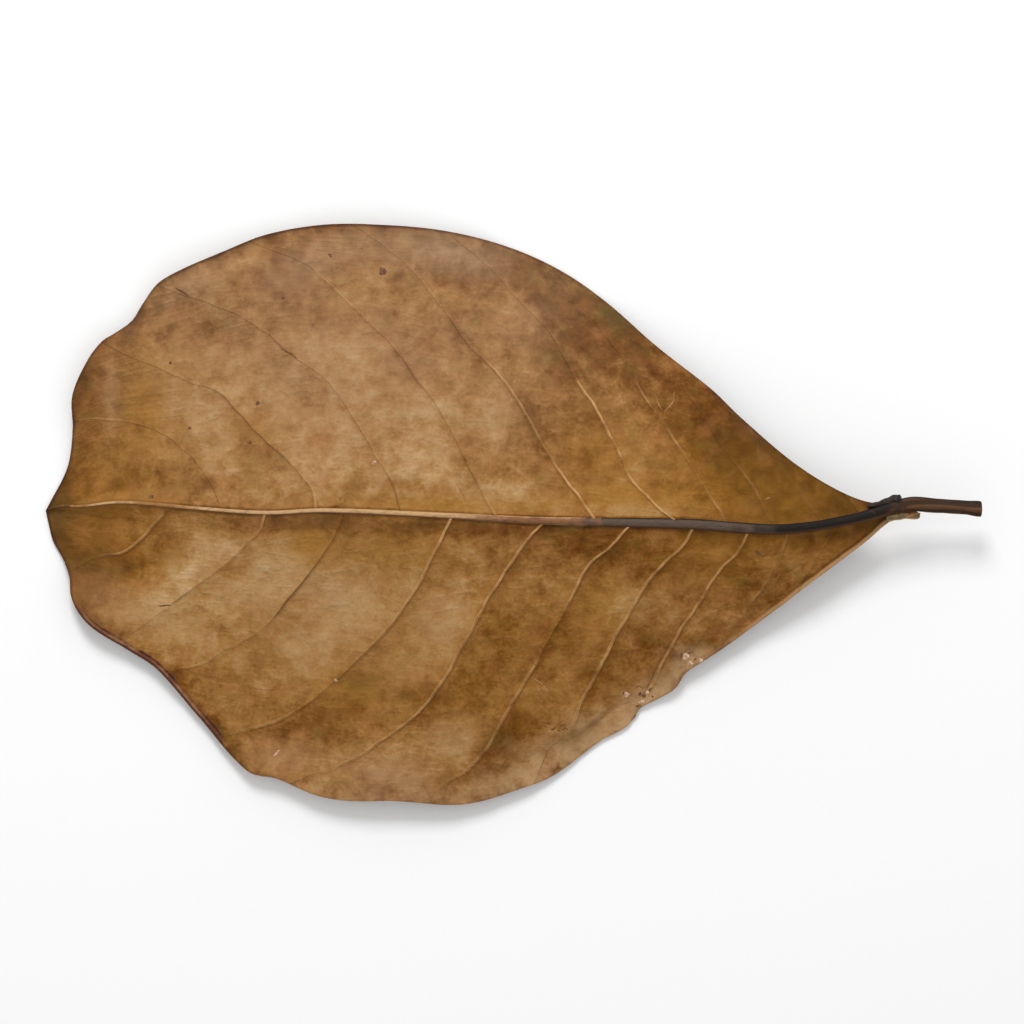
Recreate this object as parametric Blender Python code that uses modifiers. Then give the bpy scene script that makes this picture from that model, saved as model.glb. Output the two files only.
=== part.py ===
"""Indian almond leaf, dried and lying with its underside up.

The leaf is one solid: a thin waved blade with raised side veins, and a
tapering midrib that runs on as the leaf stalk. Lengths are in millimetres
and turned into metres where the mesh is made. In the tables x runs from the
tip towards the stalk, y runs across the leaf, and a share tells how far
round the margin a place is, from 0 at the tip to 1 at the blade's base.
"""

import math

import bmesh
import bpy
from mathutils import Vector

MM = 0.001

BLADE_LENGTH = 186.0
STALK_END = 201.5
BLADE_THICKNESS = 0.75

# Side veins stand on the upper face as narrow ridges that end at the margin.
VEIN_RISE = 0.45
VEIN_RISE_NEAR_MARGIN = 0.2
VEIN_HALF_WIDTH = 0.7
LARGEST_FOOT_FRACTION = 0.22

# The blade sags between two side veins, by this share of their distance. The
# lowest place lies nearer to a steep vein, the more so the smaller the skew.
PANEL_SAG = 0.06
PANEL_SKEW = 0.55

# The lower half has a shallow trough just inside its lifted rim.
TROUGH_DEPTH = 1.1
TROUGH_REACH = 0.87
TROUGH_HALF_WIDTH = 0.11

# How the two halves fall from the midrib to the margin.
UPPER_FALL_POWER = 1.45
LOWER_FALL_POWER = 1.5

# The midrib is sunk in the blade by this share of its own radius.
RIB_SINK = 0.3
RIB_POINT_SPACING = 5.0
RIB_BEVEL_RESOLUTION = 2
RIB_START = 2.0

# The first columns of the two halves lie this far from the midrib's line.
SEAM_HALF_WIDTH = 0.25

# What comes lower than this is laid flat on the surface.
FLAT_LIMIT = 0.15

# Shares of the way from the midrib to the margin where columns of faces meet.
REACHES = (0.0, 0.05, 0.11, 0.19, 0.28, 0.38, 0.48, 0.58, 0.68, 0.77, 0.85, 0.91, 0.96, 1.0)

# Rows of faces in each panel: vein crest, foot, two panel rows, next foot.
ROWS_IN_PANEL = 5

LEAF_COLOUR = (0.36, 0.22, 0.10, 1.0)
LEAF_ROUGHNESS = 0.62

MIDRIB_LINE = (
    (0.0, 0.3), (6.0, 1.5), (16.0, 1.8), (34.0, 0.7), (48.0, -0.2), (61.0, 0.3), (87.0, -0.8),
    (107.0, -1.9), (138.0, -2.6), (158.0, -3.7), (173.0, -1.7), (185.0, 1.5), (192.0, 1.3),
    (STALK_END, 0.6),
)

UPPER_MARGIN = (
    (0.0, 0.3), (1.8, 2.9), (5.3, 11.0), (6.2, 18.0), (6.0, 25.0), (9.2, 32.3), (15.2, 38.5),
    (18.8, 41.2), (21.1, 44.8), (24.3, 49.0), (29.0, 51.8), (48.0, 59.8), (60.0, 61.8),
    (72.0, 61.8), (86.0, 60.6), (100.0, 57.2), (111.5, 52.0), (121.0, 45.4), (144.0, 26.0),
    (161.3, 10.5), (171.0, 4.4), (178.5, 1.9), (184.0, 3.4),
)

LOWER_MARGIN = (
    (0.0, 0.3), (1.8, -6.9), (4.8, -12.0), (5.6, -18.0), (10.6, -25.2), (24.3, -34.0),
    (32.6, -43.6), (43.6, -55.8), (58.5, -61.0), (75.0, -62.2), (90.6, -63.0), (104.0, -59.3),
    (110.0, -56.8), (120.0, -49.4), (126.0, -46.0), (131.0, -40.8), (137.6, -35.6),
    (146.8, -28.9), (165.2, -14.8), (176.0, -6.6), (181.7, -1.8), (185.3, -1.3), (188.2, -0.4),
)

# One row for each side vein, from the tip: where it leaves the midrib, the
# share of the margin where it ends, how steeply the blade falls beside it from
# 0 to 1, and the points that it passes on its way.
UPPER_VEINS = (
    (1.5, 0.008, 0.0, ()),
    (38.6, 0.085, 0.1, ((36.8, 4.8), (33.0, 10.5), (26.5, 16.0), (17.0, 19.4), (11.5, 20.2))),
    (58.9, 0.165, 0.45, ((58.2, 4.8), (54.5, 9.2), (43.5, 19.8), (38.5, 25.0), (22.0, 32.0))),
    (77.1, 0.238, 0.15, ((71.3, 12.2), (66.6, 20.2), (60.5, 28.0), (53.5, 34.0), (36.0, 44.8))),
    (97.6, 0.330, 0.15, ((90.4, 12.0), (80.4, 28.4), (74.2, 36.4), (61.0, 49.4), (54.0, 54.4))),
    (118.6, 0.425, 0.3, ((113.0, 6.0), (105.2, 18.2), (95.6, 31.6), (84.5, 45.2), (74.4, 56.4))),
    (136.0, 0.512, 0.35, ((130.6, 2.2), (124.9, 8.8), (120.4, 19.2), (109.0, 38.0), (95.5, 52.5))),
    (146.7, 0.610, 0.12, ((142.8, 3.2), (133.6, 17.6), (121.0, 37.5), (114.5, 46.0))),
    (156.9, 0.705, 0.1, ((152.5, 5.0), (146.0, 13.6), (133.2, 32.5))),
    (167.0, 0.845, 0.0, ()),
    (175.4, 0.945, 0.0, ()),
    (184.0, 1.0, 0.0, ()),
)
LOWER_VEINS = (
    (1.5, 0.008, 0.0, ()),
    (27.3, 0.060, 0.8, ((24.7, -2.8), (21.8, -5.9), (17.8, -8.6), (12.2, -10.6))),
    (48.0, 0.143, 0.3, ((46.2, -4.6), (41.0, -9.6), (33.0, -15.8), (22.0, -24.0))),
    (65.2, 0.188, 0.35, ((58.4, -11.8), (49.0, -23.4), (45.4, -26.4), (33.0, -32.0))),
    (87.9, 0.264, 0.75, ((81.9, -13.2), (71.9, -27.6), (62.4, -36.6), (57.5, -40.8), (43.8, -47.0))),
    (107.6, 0.348, 0.8, ((100.6, -10.4), (96.3, -17.3), (83.1, -40.1), (78.8, -44.5), (63.8, -54.4))),
    (126.1, 0.474, 0.9, ((116.6, -12.0), (108.8, -27.0), (96.9, -47.6), (94.4, -52.0), (85.9, -58.8))),
    (139.6, 0.572, 0.8, ((137.1, -7.1), (131.4, -12.5), (122.1, -28.2), (112.6, -47.2))),
    (151.3, 0.693, 0.5, ((145.7, -11.8), (140.7, -19.6), (133.4, -32.4))),
    (159.5, 0.782, 0.3, ((157.9, -9.3), (155.7, -14.8), (151.4, -20.8))),
    (170.0, 0.870, 0.0, ()),
    (184.5, 1.0, 0.0, ()),
)

# Heights of the blade's lower face above the surface that it lies on, along
# the midrib and round each margin. A height below 0 is pressed flat: the leaf
# rests beside its tip and on one low place near each margin.
SPINE_HEIGHT = (
    (0.0, 0.1), (5.0, 1.6), (14.0, 4.4), (30.0, 8.0), (55.0, 11.6), (90.0, 14.4),
    (125.0, 14.8), (155.0, 13.2), (BLADE_LENGTH, 10.0), (STALK_END, 8.6),
)
UPPER_EDGE_HEIGHT = (
    (0.0, 0.0), (0.03, 0.0), (0.06, 1.2), (0.11, 2.8), (0.16, 4.0), (0.2, 1.8), (0.26, 4.6),
    (0.35, 2.8), (0.44, 4.2), (0.53, 2.0), (0.59, -0.8), (0.64, -0.8), (0.71, 2.6),
    (0.78, 5.4), (0.85, 5.0), (0.93, 8.4), (1.0, 10.0),
)
LOWER_EDGE_HEIGHT = (
    (0.0, 0.0), (0.03, 0.0), (0.07, 1.6), (0.12, 3.4), (0.19, 2.4), (0.27, 1.8), (0.34, 3.2),
    (0.43, 4.4), (0.52, 3.0), (0.59, 1.0), (0.63, 0.0), (0.68, 0.0), (0.74, 2.4),
    (0.81, 3.8), (0.87, 6.2), (0.94, 8.4), (1.0, 10.0),
)


def eased(knots, place):
    """Value at a place on a smooth curve through knots of (place, value)."""
    last = len(knots) - 1
    lower = 0
    while lower < last - 1 and place > knots[lower + 1][0]:
        lower += 1
    start, end = knots[lower], knots[lower + 1]
    before, after = knots[max(lower - 1, 0)], knots[min(lower + 2, last)]
    span = end[0] - start[0]
    leaving = (end[1] - before[1]) * (span / (end[0] - before[0]))
    arriving = (after[1] - start[1]) * (span / (after[0] - start[0]))
    t = min(max((place - start[0]) / span, 0.0), 1.0)
    rise = t * t * (3.0 - 2.0 * t)
    return (
        start[1] * (1.0 - rise)
        + end[1] * rise
        + leaving * (t * (1.0 - t) * (1.0 - t))
        - arriving * (t * t * (1.0 - t))
    )


def knots_round(points):
    """Knots of (share, point) for an outline, by the distance along it."""
    corners = [Vector(point) for point in points]
    distances = [0.0]
    for first, second in zip(corners, corners[1:]):
        distances.append(distances[-1] + (second - first).length)
    return [(distance / distances[-1], corner) for distance, corner in zip(distances, corners)]


MARGINS = {1: knots_round(UPPER_MARGIN), -1: knots_round(LOWER_MARGIN)}
VEINS = {1: UPPER_VEINS, -1: LOWER_VEINS}
EDGE_HEIGHTS = {1: UPPER_EDGE_HEIGHT, -1: LOWER_EDGE_HEIGHT}
PANELS = len(UPPER_VEINS) - 1


def bend(side, number, reach):
    """How far a side vein is from the straight line between its ends."""
    root_x, share, _, via = VEINS[side][number]
    if not via:
        return Vector((0.0, 0.0))
    root = Vector((root_x, eased(MIDRIB_LINE, root_x)))
    end = eased(MARGINS[side], share)
    return eased(knots_round((root, *via, end)), reach) - root.lerp(end, reach)


def place_in_panel(side, panel, fraction, reach):
    """Point (x, y) in a panel, and the share of the margin that it faces."""
    near, far = VEINS[side][panel], VEINS[side][panel + 1]
    root_x = near[0] + (far[0] - near[0]) * fraction
    share = near[1] + (far[1] - near[1]) * fraction
    root = Vector((root_x, eased(MIDRIB_LINE, root_x) + side * SEAM_HALF_WIDTH))
    straight = root.lerp(eased(MARGINS[side], share), reach)
    curved = bend(side, panel, reach).lerp(bend(side, panel + 1, reach), fraction)
    return straight + curved, share


def panel_width(side, panel, reach):
    """Distance between the two side veins of a panel, at a reach."""
    near, _ = place_in_panel(side, panel, 0.0, reach)
    far, _ = place_in_panel(side, panel, 1.0, reach)
    return (far - near).length


def panel_sag(side, panel, fraction, width):
    """How deep the blade sags in a panel, deepest beside its steep vein."""
    if side < 0:
        fold, past = VEINS[side][panel][2], fraction
    else:
        fold, past = VEINS[side][panel + 1][2], 1.0 - fraction
    steep = math.sin(math.pi * past ** PANEL_SKEW) * fold
    even = math.sin(math.pi * past) * (1.0 - fold)
    return PANEL_SAG * width * (0.4 + 0.6 * fold) * (steep + even)


def fall(side, reach):
    """Share of the drop from midrib to margin that is made at a reach."""
    if side > 0:
        return reach ** UPPER_FALL_POWER
    return 1.0 - (1.0 - reach) ** LOWER_FALL_POWER


def trough(side, reach):
    """Depth of the shallow trough inside the lower rim."""
    if side > 0:
        return 0.0
    away = (reach - TROUGH_REACH) / TROUGH_HALF_WIDTH
    return TROUGH_DEPTH * math.exp(-away * away)


def blade_height(side, x, share, reach, sag):
    """Height of the lower face of the blade above the surface."""
    crest = eased(SPINE_HEIGHT, x)
    edge = eased(EDGE_HEIGHTS[side], share)
    height = crest + (edge - crest) * fall(side, reach)
    open_blade = math.sin(math.pi * reach ** 0.8)
    height -= trough(side, reach) * min(1.0, crest / max(edge, 1.0) - 1.0)
    return max(height - sag * open_blade, 0.0)


def blade_point(row, side, reach):
    """Point of the blade's upper face for a row of the grid and a reach."""
    panel = min(row // ROWS_IN_PANEL, PANELS - 1)
    kind = row - panel * ROWS_IN_PANEL
    width = panel_width(side, panel, reach)
    foot = min(VEIN_HALF_WIDTH / max(width, VEIN_HALF_WIDTH), LARGEST_FOOT_FRACTION)
    fraction = (0.0, foot, 1.0 / 3.0, 2.0 / 3.0, 1.0 - foot, 1.0)[kind]
    place, share = place_in_panel(side, panel, fraction, reach)
    sag = panel_sag(side, panel, fraction, width)
    height = blade_height(side, place.x, share, reach, sag) + BLADE_THICKNESS
    is_vein = fraction in (0.0, 1.0) and 0 < row < PANELS * ROWS_IN_PANEL
    if is_vein and 0.0 < reach < 1.0:
        height += VEIN_RISE + (VEIN_RISE_NEAR_MARGIN - VEIN_RISE) * reach
    return Vector((place.x, place.y, height)) * MM


def make_blade_sheet():
    """The upper face of the blade, shaped from a flat grid."""
    spans = len(REACHES) - 1
    rows = PANELS * ROWS_IN_PANEL
    columns = 2 * spans + 1
    sheet = bmesh.new()
    bmesh.ops.create_grid(sheet, x_segments=rows, y_segments=columns, size=0.5)
    for vertex in sheet.verts:
        row = round((vertex.co.x + 0.5) * rows)
        column = round((vertex.co.y + 0.5) * columns)
        if column <= spans:
            vertex.co = blade_point(row, -1, REACHES[spans - column])
        else:
            vertex.co = blade_point(row, 1, REACHES[column - spans - 1])
    bmesh.ops.remove_doubles(sheet, verts=sheet.verts, dist=0.12 * MM)
    bmesh.ops.triangulate(sheet, faces=sheet.faces)
    mesh = bpy.data.meshes.new("blade sheet")
    sheet.to_mesh(mesh)
    sheet.free()
    return mesh


def evaluated_mesh(source):
    """A new mesh of an object with its modifiers or bevel applied."""
    graph = bpy.context.evaluated_depsgraph_get()
    return bpy.data.meshes.new_from_object(source.evaluated_get(graph))


def lay_flat(mesh):
    """Set the lowest places of the blade level on the surface."""
    for vertex in mesh.vertices:
        if vertex.co.z < FLAT_LIMIT * MM:
            vertex.co.z = 0.0


def make_blade(collection):
    """The blade as a closed solid of even thickness."""
    blade = bpy.data.objects.new("leaf", make_blade_sheet())
    collection.objects.link(blade)
    wall = blade.modifiers.new("blade thickness", "SOLIDIFY")
    wall.thickness = BLADE_THICKNESS * MM
    wall.offset = -1.0
    solid = evaluated_mesh(blade)
    blade.modifiers.remove(wall)
    lay_flat(solid)
    blade.data = solid
    return blade


RIB_RADIUS = (
    (0.0, 0.3), (40.0, 0.42), (100.0, 0.66), (130.0, 1.05), (150.0, 1.18), (172.0, 1.18),
    (BLADE_LENGTH, 1.4), (STALK_END - 4.0, 1.4), (STALK_END, 1.55),
)


def make_rib(collection):
    """The midrib and the stalk, one tapering rod along the leaf."""
    curve = bpy.data.curves.new("midrib and stalk", "CURVE")
    curve.dimensions = "3D"
    curve.bevel_depth = MM
    curve.bevel_resolution = RIB_BEVEL_RESOLUTION
    curve.use_fill_caps = True
    spline = curve.splines.new("POLY")
    steps = round((STALK_END - RIB_START) / RIB_POINT_SPACING)
    spline.points.add(steps)
    for step, point in enumerate(spline.points):
        x = RIB_START + (STALK_END - RIB_START) * step / steps
        radius = eased(RIB_RADIUS, x)
        z = eased(SPINE_HEIGHT, x) + BLADE_THICKNESS - RIB_SINK * radius
        point.co = (x * MM, eased(MIDRIB_LINE, x) * MM, z * MM, 1.0)
        point.radius = radius
    rod = bpy.data.objects.new("rod", curve)
    collection.objects.link(rod)
    mesh = evaluated_mesh(rod)
    welded = bmesh.new()
    welded.from_mesh(mesh)
    bmesh.ops.remove_doubles(welded, verts=welded.verts, dist=0.01 * MM)
    bmesh.ops.triangulate(welded, faces=welded.faces)
    welded.to_mesh(mesh)
    welded.free()
    rib = bpy.data.objects.new("midrib and stalk", mesh)
    rib.matrix_world = rod.matrix_world
    collection.objects.link(rib)
    bpy.data.objects.remove(rod)
    return rib


def join(leaf, rib):
    """Grow the rib into the blade, and drop the loose rib."""
    union = leaf.modifiers.new("rib grown in", "BOOLEAN")
    union.operation = "UNION"
    union.object = rib
    joined = evaluated_mesh(leaf)
    leaf.modifiers.remove(union)
    leaf.data = joined
    bpy.data.objects.remove(rib)


def centre_on_origin(leaf):
    """Put the middle of the leaf's box over the origin."""
    xs = [vertex.co.x for vertex in leaf.data.vertices]
    ys = [vertex.co.y for vertex in leaf.data.vertices]
    middle = Vector(((min(xs) + max(xs)) / 2.0, (min(ys) + max(ys)) / 2.0, 0.0))
    for vertex in leaf.data.vertices:
        vertex.co -= middle


def leaf_material():
    """Dry brown leaf, fairly dull."""
    material = bpy.data.materials.new("dry leaf")
    material.use_nodes = True
    shader = material.node_tree.nodes["Principled BSDF"]
    shader.inputs["Base Color"].default_value = LEAF_COLOUR
    shader.inputs["Roughness"].default_value = LEAF_ROUGHNESS
    shader.inputs["Metallic"].default_value = 0.0
    return material


def main():
    """Clear the scene and build the leaf."""
    for thing in list(bpy.data.objects):
        bpy.data.objects.remove(thing)
    collection = bpy.data.collections.new("Indian almond leaf")
    bpy.context.scene.collection.children.link(collection)
    leaf = make_blade(collection)
    join(leaf, make_rib(collection))
    centre_on_origin(leaf)
    leaf.data.name = "leaf"
    leaf.data.materials.clear()
    leaf.data.materials.append(leaf_material())
    leaf.data.shade_smooth()
    leaf.data.set_sharp_from_angle(angle=math.radians(50.0))


main()
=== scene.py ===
"""Looks of a dried Indian almond leaf that lies with its ribbed side up.

The leaf is modelled in millimetres in a frame of its own: x runs from the
tip towards the stalk, y runs across the leaf and z stands on the surface
that the leaf lies on. A share tells how far round a margin a place is, from
0 at the tip to 1 at the base of the blade, and a reach how far from the
midrib to the margin, from 0 to 1. A curve is a row of pairs (place, value),
waves of noise are rows of (size, depth, seed), and a noise is (size, seed).
The finished pieces are in metres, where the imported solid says.
"""

from __future__ import annotations

import logging
import math
from dataclasses import dataclass, field
from enum import Enum

import bpy
import numpy as np
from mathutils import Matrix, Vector, noise
from mathutils.bvhtree import BVHTree

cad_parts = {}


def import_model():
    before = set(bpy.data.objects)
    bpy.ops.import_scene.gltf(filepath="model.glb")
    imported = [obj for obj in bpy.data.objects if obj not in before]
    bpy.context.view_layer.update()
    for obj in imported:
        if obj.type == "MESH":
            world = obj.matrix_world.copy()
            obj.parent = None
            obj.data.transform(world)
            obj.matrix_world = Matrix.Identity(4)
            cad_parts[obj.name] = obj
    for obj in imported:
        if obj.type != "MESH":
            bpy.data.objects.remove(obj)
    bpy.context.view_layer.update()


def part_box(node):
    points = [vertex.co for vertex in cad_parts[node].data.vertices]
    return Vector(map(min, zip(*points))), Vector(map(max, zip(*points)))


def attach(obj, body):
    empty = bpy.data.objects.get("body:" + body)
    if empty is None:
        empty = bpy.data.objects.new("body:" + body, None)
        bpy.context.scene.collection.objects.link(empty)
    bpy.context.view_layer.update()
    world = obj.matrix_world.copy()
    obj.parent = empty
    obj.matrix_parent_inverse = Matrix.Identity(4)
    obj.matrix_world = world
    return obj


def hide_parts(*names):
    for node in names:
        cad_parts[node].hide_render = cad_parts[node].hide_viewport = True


MM = 0.001
LEAF_NODE = "leaf"
SEAM_MM = 0.002

log = logging.getLogger("leaf")


class Half(Enum):
    """The two halves of the blade, named as the camera sees them."""

    UPPER = 1
    LOWER = -1


class Tint(Enum):
    """Soft colour patches that the blade carries, each kept in an attribute.

    A positive tone lightens the brown and a negative one darkens it. The tone is partly real stain
    and partly painted light and painted shade, where the blade's relief is lit or shaded; pink,
    ochre, olive and freckles are stain.
    """

    TONE = "tone"
    PINK = "pink"
    OCHRE = "ochre"
    OLIVE = "olive"
    FRECKLES = "freckles"


@dataclass(frozen=True)
class SideVein:
    """A side vein: where it starts and ends, and how it looks on the way.

    It starts on the midrib at root_x, passes the points of via and ends at a
    share of the margin. The glow is a set of pairs of (reach, value), where
    1 shows the vein pale, -1 shows it as a dark line and 0 hides it. The
    fold tells how steeply the blade falls beside the vein, on the lee side,
    and how dark the painted shade and painted shadow line are there.
    """

    root_x: float
    share: float
    fold: float = 0.1
    via: tuple = ()
    glow: tuple = ((0.0, 0.0), (1.0, 0.0))


@dataclass(frozen=True)
class StainAndShade:
    """A soft oval patch on the blade, in the leaf's own millimetres. Patches of tone are partly
    painted light and painted shade; the others are stain.
    """

    x: float
    y: float
    length: float
    width: float
    turn: float
    amount: float

    def at(self, x: np.ndarray, y: np.ndarray) -> np.ndarray:
        """Strength of the patch at places on the leaf.

        Args:
            x: Distances from the tip.
            y: Distances across the leaf.

        Returns:
            The amount at the middle, fading softly to nothing.
        """
        angle = math.radians(self.turn)
        along = (x - self.x) * math.cos(angle) + (y - self.y) * math.sin(angle)
        across = (y - self.y) * math.cos(angle) - (x - self.x) * math.sin(angle)
        away = (along / self.length) ** 2 + (across / self.width) ** 2
        return self.amount * np.exp(-away)


@dataclass(frozen=True)
class Speck:
    """A small raised spot on the blade, in the leaf's own millimetres.

    It is an oval of half length and half width, turned in degrees.
    """

    x: float
    y: float
    length: float
    width: float
    turn: float = 0.0


def each(kind: type, *rows: tuple) -> tuple:
    """Objects of one kind, made from rows of their values."""
    return tuple(kind(*row) for row in rows)


def eased(knots: tuple, places: np.ndarray | float) -> np.ndarray:
    """Values at places on a smooth curve through knots.

    Args:
        knots: Pairs of (place, value), where a value is a number or a point.
        places: Where the curve is read.

    Returns:
        One value for each place.
    """
    stops = np.array([knot[0] for knot in knots], float)
    values = np.array([knot[1] for knot in knots], float)
    places = np.asarray(places, float)
    low = np.clip(np.searchsorted(stops, places) - 1, 0, len(stops) - 2)
    before, after = np.maximum(low - 1, 0), np.minimum(low + 2, len(stops) - 1)
    span = stops[low + 1] - stops[low]
    t = np.clip((places - stops[low]) / span, 0.0, 1.0)
    leaving = span / (stops[low + 1] - stops[before])
    arriving = span / (stops[after] - stops[low])
    if values.ndim > 1:
        t, leaving, arriving = t[..., None], leaving[..., None], arriving[..., None]
    rise = t * t * (3.0 - 2.0 * t)
    start, end = values[low], values[low + 1]
    return (
        start * (1.0 - rise)
        + end * rise
        + (end - values[before]) * leaving * t * (1.0 - t) ** 2
        - (values[after] - start) * arriving * t * t * (1.0 - t)
    )


def fade(value: np.ndarray, start: float, end: float) -> np.ndarray:
    """Smooth step from 0 at start to 1 at end."""
    t = np.clip((np.asarray(value, float) - start) / (end - start), 0.0, 1.0)
    return t * t * (3.0 - 2.0 * t)


def ripple(x: np.ndarray, y: np.ndarray, size: float, seed: float) -> np.ndarray:
    """Smooth noise between about -1 and 1 over the leaf.

    Args:
        x: Distances from the tip.
        y: Distances across the leaf.
        size: Width of one bump in millimetres.
        seed: Height at which the noise is cut, which picks the pattern.

    Returns:
        One value for each place.
    """
    flat = [
        noise.noise(Vector((a / size, b / size, seed)))
        for a, b in zip(np.ravel(x), np.ravel(y))
    ]
    return np.array(flat).reshape(np.shape(x))


def by_share(corners: tuple) -> tuple:
    """Knots for a route, by the distance along it.

    Args:
        corners: Points that the route passes.

    Returns:
        Pairs of (share of the length, point).
    """
    points = np.array(corners)
    steps = np.linalg.norm(np.diff(points, axis=0), axis=1)
    shares = np.concatenate(([0.0], np.cumsum(steps))) / steps.sum()
    return tuple(zip(shares, points))


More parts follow.
